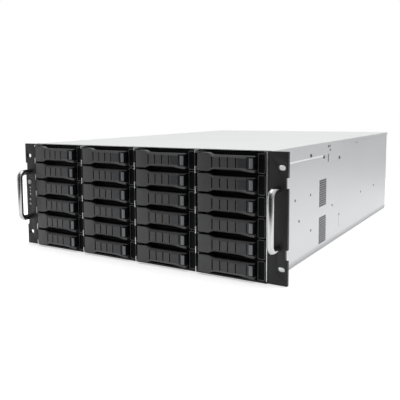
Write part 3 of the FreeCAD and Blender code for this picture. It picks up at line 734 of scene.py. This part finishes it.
def leverRing(x, inset=0.0, grooved=False):
    shoulder, taper, wide, narrow, edge = pick(leverSizes, "shoulder taper wide narrow edge")
    share = smoothStep((x - shoulder) / (taper - shoulder))
    half = wide + (narrow - wide) * share
    tall, deep = (edge + (bevel - edge) * share for bevel in pick(leverSizes, "bevelTall bevelDeep"))
    back, front = leverSizes["back"] - inset, leverSizes["front"] + inset
    floor = front + (leverSizes["grooveDeep"] if grooved else 0.0)
    groove = leverSizes["grooveHalf"]
    low = -half - leverFlare(x)
    section = [
        (back, low), (back, half), (front + deep, half), (front, half - tall),
        (floor, groove), (floor, -groove), (front, tall - half), (front + deep, low)]
    return [(x, y, leverSizes["middle"] + z) for y, z in section]


def leverShape():
    left, nose, shoulder, taper, fork = pick(leverSizes, "left nose shoulder taper fork")
    rings = []
    for degrees in (90.0, 67.5, 45.0, 22.5, 0.0):
        angle = math.radians(degrees)
        rings.append(leverRing(left + nose * (1 - math.sin(angle)), nose * (1 - math.cos(angle))))
    for share in (0.0, 0.2, 0.35, 0.5, 0.65, 0.8):
        rings.append(leverRing(shoulder + share * (taper - shoulder)))
    half = leverSizes["grooveWidth"] / 2
    for middle in leverSizes["grooves"]:
        for side, grooved in ((-half, False), (-half, True), (half, True), (half, False)):
            rings.append(leverRing(middle + side, grooved=grooved))
    start, end = leverSizes["flare"][:2]
    for share in (0.15, 0.3, 0.45):
        rings.append(leverRing(start + share * (end - start)))
    rings.append(leverRing(fork))
    shape = bmesh.new()
    loft(shape, rings)
    bmesh.ops.remove_doubles(shape, verts=shape.verts[:], dist=0.0005)
    addForkArms(shape)
    return shape


def addForkArms(shape):
    # Arms run on from the bevels, thinning to their ends
    tip, arm, tall, deep, back = pick(leverSizes, "narrow arm bevelTall bevelDeep back")
    run, thin, pull, drop = leverSizes["armTip"]
    root, end = leverSizes["fork"] - leverSizes["armRoot"], leverSizes["right"]
    for side in (-1, 1):
        rings = []
        for x, thick, pulled, dropped in ((root, arm, 0, 0), (end - run, arm, 0, 0), (end, arm * thin, pull, drop)):
            top = tip - dropped + (leverFlare(x) if side < 0 else 0.0)
            front = leverSizes["front"] + pulled
            section = [(back, tip - thick), (back, top), (front + deep, top),
                       (front + deep / tall * (tall - thick), tip - thick)]
            rings.append([(x, y, leverSizes["middle"] + side * z) for y, z in section])
        loft(shape, rings)


def dished(shape, outline, face, depth):
    # Plate in the x, z plane with a shallow dish in its front
    left, right, low, high = outline
    steps = 8
    shares = [step / steps for step in range(steps + 1)]

    def point(u, v):
        swell = math.sin(math.pi * u) * math.sin(math.pi * v)
        return left + u * (right - left), face + depth * swell, low + v * (high - low)

    grid = [[shape.verts.new(point(u, v)) for v in shares] for u in shares]
    for near, far in zip(grid, grid[1:]):
        for j in range(steps):
            shape.faces.new((near[j], far[j], far[j + 1], near[j + 1]))


def releasePlate():
    left, right, half = leverSizes["plate"]
    middle, front, margin = pick(leverSizes, "middle front plateMargin")
    face = front - leverSizes["plateProud"]
    low, high = middle - half, middle + half
    shape = bmesh.new()
    dished(shape, (left, right, low, high), face, leverSizes["dish"])
    prism(shape, "y", front + leverSizes["plateSeat"], face,
          rectangle(left - margin, right + margin, low - margin, high + margin))
    # Shelf in the fork, which the slider's cap runs over
    start, end, over, under = leverSizes["shelf"]
    gap = leverSizes["narrow"] - leverSizes["arm"]
    block(shape, (start, over, middle - gap), (end, under, middle + gap))
    return shape


def sliderShape():
    left, right, slope, stem, capBack = pick(sliderSizes, "left right slope stem capBack")
    front, back = pick(leverSizes, "front back")
    sunk, proud = sliderSizes["capEdge"]
    plan = [
        (stem, back), (stem, capBack), (left, capBack), (left, front + sunk), (left + slope, front - proud),
        (right - slope / 2, front - proud), (right, front + sunk), (right, back)]
    return prism(bmesh.new(), "z", sliderSizes["low"], sliderSizes["high"], plan)


def sliderInsert():
    # Crowned strip: round in plan, so that it shades from bright to dark across
    left, right, half = sliderSizes["insert"]
    proud, crown, seat = pick(sliderSizes, "proud crown insertSeat")
    middle, front = pick(leverSizes, "middle front")
    steps = 10
    plan = [(left, front + seat)]
    for step in range(steps + 1):
        u = step / steps
        plan.append((left + u * (right - left), proud + crown * (2 * u - 1) ** 2))
    plan.append((right, front + seat))
    return prism(bmesh.new(), "z", middle - half, middle + half, plan)


def bezelShape():
    base, back, front, panel, width, height = pick(carrierSizes, "base back front panel width height")
    shape = windowPlate(bmesh.new(), "y", base, back, (0.0, panel, 0.0, height), [carrierSizes["window"]])
    # Panel at the free end: a paler raised rim round a sunk face
    edge, rim, recess, slope = pick(carrierSizes, "rimEdge rim recess rimSlope")
    inner = edge[-1][0] + rim
    profile = [(0.0, back), *((inset, front + y) for inset, y in edge), (inner, front),
               (inner + slope, front + recess)]
    radius, least = carrierSizes["panelRound"]
    rings = []
    for inset, y in profile:
        outline = roundedRectangle(
            panel + inset, width - inset, inset, height - inset, max(radius - inset, least))
        rings.append([(u, y, v) for u, v in outline])
    rimLayer = 3
    for index, face in enumerate(loft(shape, rings)):
        face.material_index = 2 if index // len(rings[0]) == rimLayer else 1
    left, right, lugFront, tall = carrierSizes["lug"]
    radius = (right - left) / 2
    root = base + carrierSizes["lugRoot"]
    nose = arc(left + radius, lugFront + radius, radius, range(180, 361, 20))
    for low in (0.0, height - tall):
        prism(shape, "z", low, low + tall, nose + [(right, root), (left, root)])
    return shape


def trayShape():
    wide, top, low, fold = pick(carrierSizes, "width trayTop trayFloor trayFold")
    path = arcPath([(wide, top), (wide, low), (0.0, low), (0.0, top)], fold)
    return foldedSheet(bmesh.new(), path, carrierSizes["trayBreaks"])


def copied(name, source, place):
    mesh = source.data.copy()
    mesh.name = name
    mesh.transform(Matrix.Translation(place))
    return placed(name, mesh)


def makeCarriers():
    height, base, pivot, radius, short = pick(carrierSizes, "height base pivot pin pinShort")
    tray = sheetPiece("tray", trayShape(), ["tray"], carrierSizes["traySheet"])
    bezel = makePiece("bezel", bezelShape(), ["bezel", "panel", "rim"], bevel=0.2)
    pin = roundPiece("pin", "z", pivot, [(short, radius), (height - short, radius)], 20, "screw")
    grille = hexGrille(
        "carrier grille", carrierSizes["window"], base + carrierSizes["grilleSink"], carrierSizes["grille"], "bezel")
    carrier = joined("carrier proto", [bezel, tray, grille, pin])
    lever = joined("lever proto", [
        makePiece("lever", leverShape(), ["lever"], bevel=0.3),
        makePiece("plate", releasePlate(), ["release"], bevel=0.25)])
    slider = joined("slider proto", [
        makePiece("slider", sliderShape(), ["bezel"], bevel=0.3),
        makePiece("insert", sliderInsert(), ["slider"], bevel=0.3)])
    for row in range(1, rows + 1):
        for column in range(1, columns + 1):
            label = "_r%d_c%d" % (row, column)
            node = "carrier" + label
            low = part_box(node)[0]
            place = Vector((low.x, 0.0, low.z))
            onBody(copied("drive_carrier" + label, carrier, place), node, "carrier_black", node)
            for name, proto, slot, body in (
                    ("pull_lever", lever, "carrier_plastic", "lever"),
                    ("release_slider", slider, "latch_plastic", "latch_button")):
                piece = copied(name + label, proto, place)
                if row == 1:
                    onBody(piece, body + label, slot, body + label)
                else:
                    onBody(piece, node, slot)
    discard(carrier, lever, slider)
    print("carriers made:", rows * columns)


# Folded body
tubSizes = {
    "half": 215.7, "top": 175.0, "flange": 10.0, "depth": 660.0, "sheet": 1.2, "fold": 3.6,
    "ventY": (193.0, 228.0), "ventZ": ((11.5, 55.5), (72.0, 116.0)), "holes": (10, 12), "hole": 1.45}
coverSizes = {
    "half": 217.0, "top": 176.0, "sheet": 1.0, "fold": 1.4, "frontFlange": 155.0, "front": 0.0,
    "hem": ((-0.8, 0.0), (0.8, 0.2), (1.1, 0.7), (0.8, 1.6), (-0.8, 3.2)), "hemDrop": 1.9, "hemY": (1.0, 204.0),
    "seam": (235.7, 236.3), "rim": 171.0, "tabLow": 142.0, "tabEnd": 317.0, "tabCorner": 5.0,
    "lip": (660.3, 661.3, 163.0, 175.0), "lipHalf": 214.5, "slotHalf": 2.4, "slotX": 150.0, "slotTop": 171.9}


def makeTub(half, top, flange, depth, sheet, fold, ventY, ventZ, holes, hole):
    path = arcPath([(half - flange, top), (half, top), (half, 0.0), (-half, 0.0), (-half, top),
                    (flange - half, top)], fold)
    breaks = sorted({z for pair in ventZ for z in pair})
    full = []
    for here, after in zip(path, path[1:]):
        full.append(here)
        if abs(here[0] - after[0]) < 0.01 and abs(here[1] - after[1]) > top / 2:
            full += [(here[0], level) for level in (breaks if after[1] > here[1] else breaks[::-1])]
    full.append(path[-1])

    def isVent(i, j):
        (x0, z0), (x1, z1) = full[i], full[i + 1]
        onWall = j == 1 and abs(x0 - x1) <= 0.01
        return onWall and any(low < (z0 + z1) / 2 < high for low, high in ventZ)

    shape = foldedSheet(bmesh.new(), full, [0.0, *ventY, depth], isVent)
    tub = sheetPiece("folded_tub", shape, ["steel"], sheet)
    pitchY, pitchZ = (ventY[1] - ventY[0]) / holes[0], (ventZ[0][1] - ventZ[0][0]) / holes[1]
    square = outlineOf(8, lambda u, v: 0.5 / max(u, v))
    cell = pierced([(u * pitchY, v * pitchZ) for u, v in square], ring(0, 0, hole, 8), sheet)
    places = [Matrix.Translation((wall, sum(ventY) / 2, (low + high) / 2)) @ ontoRight
              for low, high in ventZ for wall in (half - sheet, -half)]
    # The vent cells take the dark vent finish: painted shade behind the holes
    fields = growField("vent field", cell, holes, (pitchY, pitchZ), 0.0, "vent", places)
    onBody(joined("folded_tub", [tub, *fields]), "chassis", "zinc_steel", "chassis_tub")


def coverSheet(name, low, front, back):
    # Its side flanges take the second finish, the wall's steel that they lap, and its top the paler first: painted
    # light, the same sheet lighter on top than on its sides
    half, top, fold, sheet = pick(coverSizes, "half top fold sheet")
    path = arcPath([(-half, low), (-half, top), (half, top), (half, low)], fold)
    shape = foldedSheet(bmesh.new(), path, [front, back])
    for face in shape.faces:
        if abs(face.calc_center_median().x) > half - sheet / 10:
            face.material_index = 1
    return sheetPiece(name, shape, ["cover", "steel"], sheet)


def makeFrontCover():
    half, low = pick(coverSizes, "half frontFlange")
    cover = coverSheet("front_cover_sheet", low, coverSizes["front"], coverSizes["seam"][0])
    shape = bmesh.new()
    foot = low - coverSizes["hemDrop"]
    for side in (-1, 1):
        hem = [(side * (half + x), foot + z) for x, z in coverSizes["hem"]]
        prism(shape, "y", *coverSizes["hemY"], hem)
    # The hems take the paler bay wall steel: a painted highlight along the lower edges of the flanges
    hems = makePiece("front_cover_hems", shape, ["bright"])
    onBody(joined("front_cover", [cover, hems]), "chassis", "zinc_steel", "front_top_cover")


def makeRearCover():
    half, sheet, rim, front = *pick(coverSizes, "half sheet rim"), coverSizes["seam"][1]
    lipStart, lipEnd, lipLow, lipHigh = coverSizes["lip"]
    lid = coverSheet("rear_cover_sheet", rim, front, lipEnd)
    low, end, corner = pick(coverSizes, "tabLow tabEnd tabCorner")
    tab = [(front, rim), (front, low), *arc(end - corner, low + corner, corner, range(-90, 1, 15)), (end, rim)]
    shape = bmesh.new()
    for inner, outer in ((half - sheet, half), (-half, sheet - half)):
        prism(shape, "x", inner, outer, tab)
    slot, slotX, slotTop, lipHalf = pick(coverSizes, "slotHalf slotX slotTop lipHalf")
    slots = [(x - slot, x + slot, lipLow, slotTop) for x in (-slotX, slotX)]
    windowPlate(shape, "y", lipStart, lipEnd, (-lipHalf, lipHalf, lipLow, lipHigh), slots)
    folds = makePiece("rear_cover_folds", shape, ["steel"], bevel=0.2)
    onBody(joined("rear_cover_lid", [lid, folds]), "rear_cover", "zinc_steel", "rear_top_cover")


handleSizes = {"x": 228.6, "feet": (49.0, 127.0), "front": -5.0, "bar": -31.0, "radius": 4.5, "bend": 9.0}


def makeHandles(x, feet, front, bar, radius, bend):
    low, high = feet
    values = {"Radius": radius, "Bend": bend}
    edges = [(0, 1), (1, 2), (2, 3)]
    bars = []
    for side in (-x, x):
        points = [(side, front, low), (side, bar, low), (side, bar, high), (side, front, high)]
        bars.append(grow("handle bar", "bar", values, "handle", points=points, edges=edges))
    onBody(crisp(joined("handle_pair", bars), angle=40), "chassis", "polished_handle", "front_handles")


# Fans
fanSizes = {
    "x": (-132.0, 0.0, 132.0), "z": 67.2, "front": 232.2, "depth": 38.0, "half": 60.0, "corner": 6.0, "bore": 58.0,
    "lip": 3.0, "flare": 1.6, "motor": 20.0, "motorDepth": 9.0, "motorEdge": 0.8, "strut": 3.0, "strutDepth": 4.0,
    "strutThin": 0.8, "strutRoots": (1.0, 0.5), "sides": 48,
    "hub": 22.0, "hubFront": 6.0, "hubBack": 28.0, "hubNose": ((0.0, 3.0), (0.8, 1.0), (2.8, 0.0)),
    "shaft": (2.0, 0.5, 7.0), "blades": 5, "bladeRoot": 2.0, "tip": 56.4,
    "chord": (19.0, 37.0), "pitch": (34.0, 25.0), "camber": 2.4, "thick": 1.6, "edgeThin": 0.6, "sweep": 0.16}


def fanDuct(shape, x):
    front, z, sides, bore, lip = pick(fanSizes, "front z sides bore lip")
    half, corner, motor, edge = pick(fanSizes, "half corner motor motorEdge")
    back = front + fanSizes["depth"]
    # A square with cut corners, its points at the bore's angles
    outer = outlineOf(sides, lambda u, v: min(half / max(u, v), (2 * half - corner) / (u + v)))
    mouth, throat = ring(0, 0, bore + fanSizes["flare"], sides), ring(0, 0, bore, sides)
    layers = (
        (outer, front), (mouth, front), (throat, front + lip), (throat, back - lip), (mouth, back), (outer, back))
    rings = [[shape.verts.new((x + u, y, z + v)) for u, v in points] for points, y in layers]
    skin(shape, [*rings, rings[0]])
    profile = [(back - fanSizes["motorDepth"], motor), (back - edge, motor), (back, motor - edge)]
    turned(shape, "y", (x, z), profile, 36)
    inward, outward = fanSizes["strutRoots"]
    for along in map(Vector, ((1, 0), (0, 1), (-1, 0), (0, -1))):
        side = along.orthogonal() * fanSizes["strut"]
        thin = side * fanSizes["strutThin"]
        inner, end = along * (motor - inward), along * (bore + outward)
        corners = [inner - side, end - thin, end + thin, inner + side]
        prism(shape, "y", back - fanSizes["strutDepth"], back, [(x + p.x, z + p.y) for p in corners])


def fanBlade():
    # Twisted blade in its own axes: out from the hub, round the hub, along the shaft
    hub, tip, camber, thick = pick(fanSizes, "hub tip camber thick")
    root = hub - fanSizes["bladeRoot"]
    middle = (fanSizes["hubFront"] + fanSizes["hubBack"]) / 2
    stations = 6
    rings = []
    for step in range(stations + 1):
        t = step / stations
        radius = root + t * (tip - root)
        chord, pitch = (start + t * (end - start) for start, end in pick(fanSizes, "chord pitch"))
        lean = math.radians(pitch)
        upper, lower = [], []
        for share in (-1.0, -0.5, 0.0, 0.5, 1.0):
            rise = camber * (1 - share * share)
            half = thick / 2 * (1 - fanSizes["edgeThin"] * share * share)
            for side, height in ((upper, rise + half), (lower, rise - half)):
                along = share * chord / 2
                around = along * math.cos(lean) - height * math.sin(lean)
                angle = around / radius + fanSizes["sweep"] * t * t
                axial = middle + along * math.sin(lean) + height * math.cos(lean)
                side.append((radius * math.cos(angle), radius * math.sin(angle), axial))
        rings.append(upper + lower[::-1])
    shape = bmesh.new()
    loft(shape, rings)
    return cellOf(shape, "black")


def makeFans():
    z, front, hub = pick(fanSizes, "z front hub")
    hubFront, hubBack = front + fanSizes["hubFront"], front + fanSizes["hubBack"]
    shape = bmesh.new()
    for x in fanSizes["x"]:
        fanDuct(shape, x)
    onBody(makePiece("fan_ducts", shape, ["black"], bevel=0.3), "chassis", "black_plastic", "fan_frames")
    blade = fanBlade()
    values = {"Count": fanSizes["blades"], "Radius": 0.0, "Part": blade}
    # Out from the hub is up, round it is right, and along the shaft is back
    upright = Matrix(((0, 1, 0, 0), (0, 0, 1, 0), (1, 0, 0, 0), (0, 0, 0, 1)))
    shaft, inside, behind = fanSizes["shaft"]
    nose = [(hubFront + y, hub - inset) for y, inset in fanSizes["hubNose"]]
    for index, x in enumerate(fanSizes["x"], 1):
        blades = grow("blades", "wheel", values, "black", Matrix.Translation((x, front, z)) @ upright)
        shape = turned(bmesh.new(), "y", (x, z), [*nose, (hubBack, hub)], 40)
        turned(shape, "y", (x, z), [(hubBack - inside, shaft), (hubBack + behind, shaft)], 16)
        core = makePiece("hub", shape, ["black"])
        rotor = "fan_rotor_%d" % index
        onBody(joined("fan_wheel_%d" % index, [core, crisp(blades, angle=40)]), rotor, "black_plastic", rotor)
    discard(blade)


# Power supplies: heights are above the module's own floor
supplySizes = {
    "x": (133.5, 207.0), "y": (475.0, 660.0), "floors": (5.5, 47.3), "height": 40.0, "skin": 14.0,
    "inlet": (138.5, 165.5, 10.0, 30.0), "inletCorner": 5.0, "liner": (0.9, 0.3, 0.2, 0.5),
    "grille": (169.0, 204.0, 4.0, 36.0), "cell": (3.6, 0.8, 1.0), "grilleSink": 0.6,
    "grip": (172.0, 202.0, 680.0), "gripStrap": 3.0, "gripHalf": 4.5, "gripRound": (5.0, 3.2),
    "pins": ((146.0, 17.5), (158.0, 17.5), (152.0, 23.0)), "pin": (1.0, 2.0), "pinSink": 2.0,
    "light": (152.0, 34.5), "lightProfile": ((-0.5, 1.2), (0.2, 1.2), (0.5, 0.7))}


def inletLiner(window, back):
    # Black liner with keyed corners
    u0, u1, v0, v1 = window
    cut, skinDepth = pick(supplySizes, "inletCorner skin")
    share, sunk, proud, gap = supplySizes["liner"]
    keyed = [(u0, v0), (u1, v0), (u1, v1 - cut), (u1 - cut, v1), (u0 + cut, v1), (u0, v1 - cut)]
    outline = [(u0, v0), (u1, v0), (u1, v1), (u1, v1), (u0, v1), (u0, v1)]
    middle = Vector(((u0 + u1) / 2, (v0 + v1) / 2))
    liner = [middle + (Vector(point) - middle) * share for point in keyed]
    layers = (
        (outline, back - sunk), (outline, back + proud), (liner, back + proud), (liner, back - skinDepth + gap))
    shape = bmesh.new()
    rings = [[shape.verts.new((u, y, v)) for u, v in points] for points, y in layers]
    skin(shape, rings)
    shape.faces.new(rings[-1])
    bmesh.ops.remove_doubles(shape, verts=shape.verts[:], dist=0.001)
    return makePiece("inlet liner", shape, ["black"])


def supplyGrip(level, back):
    # Flat strap bent round its two corners
    left, right, reach = supplySizes["grip"]
    strap, half = pick(supplySizes, "gripStrap gripHalf")
    paths = []
    for inset, radius in zip((0.0, strap), supplySizes["gripRound"]):
        u0, u1, y = left + inset, right - inset, reach - inset
        paths.append(arcPath([(u1, back), (u1, y), (u0, y), (u0, back)], radius))
    shape = prism(bmesh.new(), "z", level - half, level + half, paths[0] + paths[1][::-1])
    return makePiece("supply grip", shape, ["black"], bevel=0.5)


def makeSupply(number, floor):
    left, right = supplySizes["x"]
    front, back = supplySizes["y"]
    height, skinDepth = pick(supplySizes, "height skin")
    top, inside = floor + height, back - skinDepth
    inlet, grille = (
        (u0, u1, floor + v0, floor + v1) for u0, u1, v0, v1 in pick(supplySizes, "inlet grille"))
    shape = block(bmesh.new(), (left, front, floor), (right, inside, top))
    windowPlate(shape, "y", inside, back, (left, right, floor, top), [inlet, grille])
    pieces = [makePiece("supply box", shape, ["supply"], bevel=0.4), inletLiner(inlet, back)]
    shape = bmesh.new()
    wide, tall = supplySizes["pin"]
    for x, rise in supplySizes["pins"]:
        end = back - supplySizes["pinSink"]
        block(shape, (x - wide, inside, floor + rise - tall), (x + wide, end, floor + rise + tall))
    pieces += [makePiece("inlet pins", shape, ["screw"], bevel=0.3), supplyGrip(floor + height / 2, back)]
    x, rise = supplySizes["light"]
    profile = [(back + y, radius) for y, radius in supplySizes["lightProfile"]]
    pieces.append(roundPiece("supply light", "y", (x, floor + rise), profile, 14, "light"))
    sunk = back - supplySizes["grilleSink"]
    pieces.append(hexGrille("supply grille", grille, sunk, supplySizes["cell"], "supply"))
    module = "psu_module_%d" % number
    onBody(joined("supply_%d" % number, pieces), module, "psu_metal", module)


# Small repeated hardware: screws and rivets on the sides are listed as (y, z)
hardwareSizes = {
    "flangeScrews": ((148.0, 158.8),), "tabScrews": ((293.0, 145.4),), "wallScrews": ((213.0, 151.8),),
    # The notches are dark rivet heads at the seam: painted shade of the notch holes
    "tabNotches": ((239.5, 168.5), (241.5, 162.0)), "flangeNotches": ((231.5, 168.5),),
    "wallRivets": ((87.0, 98.0), (104.0, 65.0), (152.0, 98.0), (155.0, 42.0), (261.0, 66.0), (301.0, 44.0),
                   (443.0, 66.0), (546.0, 67.0)),
    "flange": 217.0, "wall": 215.7, "screw": (2.9, 1.2), "rivet": (2.1, 0.5),
    "head": ((0.5, 1.0), (1.0, 0.72), (1.0, 0.42), (0.35, 0.36)), "sunk": 0.2,
    "pad": ((299.0, 312.0, 22.0, 50.0), 2.0, 0.3), "lance": ((400.0, 414.0, 164.6, 166.2), 0.7, 0.15),
    # The last entry is a black block under the bays: painted shade
    "shadowStrip": ((-213.4, -6.5, 0.15), (213.4, 0.5, 2.7))}


def screwCell(radius, height):
    # Pan head with a round recess
    profile = [(-hardwareSizes["sunk"], radius)]
    profile += [(height * along, radius * wide) for along, wide in hardwareSizes["head"]]
    return cellOf(turned(bmesh.new(), "z", (0, 0), profile, 10), "screw")


def makeSideHardware():
    screw, rivet = (screwCell(*sizes) for sizes in pick(hardwareSizes, "screw rivet"))
    fixed, lifted = [], []
    for side in (-1, 1):
        turn = (0.0, side * math.pi / 2, 0.0)
        for name, part, plane, group in (
                ("flangeScrews", screw, "flange", fixed), ("wallScrews", screw, "wall", fixed),
                # The notches are dark rivet heads, a painted shade where holes are
                ("wallRivets", rivet, "wall", fixed), ("flangeNotches", rivet, "flange", fixed),
                ("tabNotches", rivet, "flange", lifted), ("tabScrews", screw, "flange", lifted)):
            points = [(side * hardwareSizes[plane], y, z) for y, z in hardwareSizes[name]]
            group.append(setParts(name, part, points, "darkScrew", turn))
    discard(screw, rivet)
    # The lance is a flat patch in the dark vent finish: painted shade of a lanced slot
    for name, finish, bevel in (("pad", "steel", 0.25), ("lance", "vent", 0.0)):
        outline, radius, proud = hardwareSizes[name]
        wall, sunk = pick(hardwareSizes, "wall sunk")
        shape = bmesh.new()
        for side in (-1, 1):
            prism(shape, "x", side * (wall - sunk), side * (wall + proud), roundedRectangle(*outline, radius))
        fixed.append(makePiece(name, shape, [finish], bevel))
    onBody(joined("side_fixings", fixed), "chassis", "screw_metal")
    onBody(joined("cover_fixings", lifted), "rear_cover", "screw_metal")


standoffSizes = {"flats": 6.0, "tall": 8.0, "foot": 1.2, "hole": 1.5, "apart": 12.0}


def makeStandoffs(flats, tall, foot, hole, apart):
    sides, sixth = 12, math.pi / 3

    def reach(u, v):
        return flats / 2 / math.cos((math.atan2(v, u) + sixth / 2) % sixth - sixth / 2)

    cell = cellOf(pierced(outlineOf(sides, reach), ring(0, 0, hole, sides), tall), "brass")
    # The CAD node's own points, sorted into one group for each standoff
    groups = {}
    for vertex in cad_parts["board_standoffs"].data.vertices:
        x, y = vertex.co.x / mm, vertex.co.y / mm
        groups.setdefault((round(x / apart), round(y / apart)), []).append(Vector((x, y - rackPlane)))
    middles = [sum(groups[key], Vector((0, 0))) / len(groups[key]) for key in sorted(groups)]
    piece = setParts("standoffs", cell, [(middle.x, middle.y, foot) for middle in middles], "brass")
    discard(cell)
    onBody(piece, "chassis", "brass", "board_standoffs")


thumbSizes = {
    "x": 150.0, "z": 169.5, "seat": 661.6, "radius": 5.5, "thick": 8.0, "neck": 2.0, "length": 1.6,
    "tooth": ((-0.35, -0.55), (0.25, 0.0), (-0.35, 0.55)), "teeth": 30, "margin": 1.0,
    "core": 5.1, "edges": (0.4, 0.6, 0.8, 1.0), "recess": (1.6, 1.5, 1.4)}


def makeThumbscrews(x, z, seat, radius, thick, neck, length, tooth, teeth, margin, core, edges, recess):
    inset, rise, fall, shoulder = edges
    mouth, deep, floor = recess
    end = seat + thick
    profile = [(seat - length, neck), (seat, neck), (seat, core - inset), (seat + rise, core), (end - fall, core),
               (end, core - shoulder), (end, mouth), (end - deep, floor)]
    part = cellOf(prism(bmesh.new(), "z", margin, thick - margin, tooth), "screw")
    values = {"Count": teeth, "Radius": radius + tooth[0][0], "Part": part}
    pieces = []
    for middle in (-x, x):
        pieces.append(grow("knurls", "wheel", values, "screw", Matrix.Translation((middle, end, z)) @ ontoFront))
        pieces.append(roundPiece("thumb", "y", (middle, z), profile, 30, "screw"))
    discard(part)
    onBody(joined("thumbscrews", pieces), "chassis", "screw_metal", "cover_thumbscrews")


socketSizes = {
    "long": 42.0, "tall": 7.0, "deep": 11.0, "base": 2.0, "pitches": (106.35, 28.5),
    "slots": ((3.0, 15.0), (17.0, 39.0)), "slotHalf": 1.2}


def makeSockets(long, tall, deep, base, pitches, slots, slotHalf):
    # One moulded socket, with its card slot and key, repeated over the bays
    left, right, low, high = outer = (-long / 2, long / 2, -tall / 2, tall / 2)
    windows = [(left + start, left + end, -slotHalf, slotHalf) for start, end in slots]
    shape = windowPlate(bmesh.new(), "z", base, deep, outer, windows)
    block(shape, (left, low, 0.0), (right, high, base))
    near, far = (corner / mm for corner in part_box("backplane_connectors"))
    place = Matrix.Translation(((near.x + far.x) / 2, far.y - rackPlane, (near.z + far.z) / 2)) @ ontoFront
    sockets = growField("bay_sockets", shape, (columns, rows), pitches, 0.0, "black", [place])
    onBody(sockets[0], "chassis", "black_plastic", "backplane_connectors")


blankSizes = {"pitch": 20.32, "first": 9.2, "y": 653.4, "z": 124.0, "screw": (2.8, 1.6)}


def makeBlanks(pitch, first, y, z, screw):
    # Slot blanks with a screw through each folded tab
    # The blanks take the paler bay wall steel, painted lighter than the body's steel
    blanks = softened("expansion_blanks", "slot_covers", "bright", bevel=0.15)
    low, high = (corner.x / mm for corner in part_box("slot_covers"))
    points = [(low + first + pitch * index, y, z) for index in range(round((high - low) / pitch))]
    part = screwCell(*screw)
    heads = setParts("blank screws", part, points, "screw")
    discard(part)
    onBody(joined("expansion_blanks", [blanks, heads]), "chassis", "zinc_steel", "slot_covers")


def makeBayWalls():
    # The bay walls take the paler bay wall steel: a painted highlight on their front edges
    walls = softened("bay_walls", "drive_cage", "bright", bevel=0.12)
    # A black strip on the floor under the bottom row: painted shade where the floor lies in the levers' shadow
    shadowStrip = makePiece("bay sill", block(bmesh.new(), *hardwareSizes["shadowStrip"]), ["ear"], bevel=0.3)
    onBody(joined("bay_walls", [walls, shadowStrip]), "chassis", "zinc_steel", "drive_cage")


# Buttons in the left ear: name, height and radius of each
buttonSizes = {
    "x": -232.55, "front": -6.2, "back": -2.1, "dish": 0.25, "dishShares": (0.72, 0.4),
    "edge": ((0.5, 0.0), (0.12, 0.15), (0.0, 0.5)),
    "buttons": (("power", 109.0, 4.0), ("reset", 78.5, 2.0), ("mute", 70.5, 2.0))}


def makeButtons(x, front, back, dish, dishShares, edge, buttons):
    rim, middle = dishShares
    for name, z, radius in buttons:
        profile = [(back, radius), *((front + y, radius - inset) for y, inset in edge),
                   (front, radius * rim), (front + dish, radius * middle)]
        node = name + "_button"
        piece = roundPiece("button_" + name, "y", (x, z), profile, 28, "button")
        onBody(piece, node, "black_plastic", node)


def makePlainPieces():
    for name, node, slot, finish, bevel in (
            ("rack_ear_left", "left_ear", "black_ear", "ear", 0.5),
            ("rack_ear_right", "right_ear", "black_ear", "ear", 0.5),
            ("rear_wall", "rear_panel", "zinc_steel", "steel", 0.2),
            # The bulkhead and supply cage take the darker inner steel, a painted shade inside the body
            ("fan_bulkhead", "fan_wall", "zinc_steel", "inside", 0.2),
            ("supply_cage", "psu_cage", "zinc_steel", "inside", 0.15),
            ("bay_board", "backplane", "circuit_board", "board", 0.15),
            ("ear_board", "control_board", "circuit_board", "board", 0.15),
            ("indicator_lights", "status_light_pipes", "light_pipe", "light", 0.2)):
        onBody(softened(name, node, finish, bevel), "chassis", slot, node)


makeCarriers()
makeTub(**tubSizes)
makeFrontCover()
makeRearCover()
makeHandles(**handleSizes)
print("body, covers and handles made")
makeFans()
for number, floor in enumerate(supplySizes["floors"], 1):
    makeSupply(number, floor)
print("fans and power supplies made")
makeBayWalls()
makeSideHardware()
makeStandoffs(**standoffSizes)
makeThumbscrews(**thumbSizes)
makeSockets(**socketSizes)
makeBlanks(**blankSizes)
makeButtons(**buttonSizes)
makePlainPieces()
print("small pieces made")
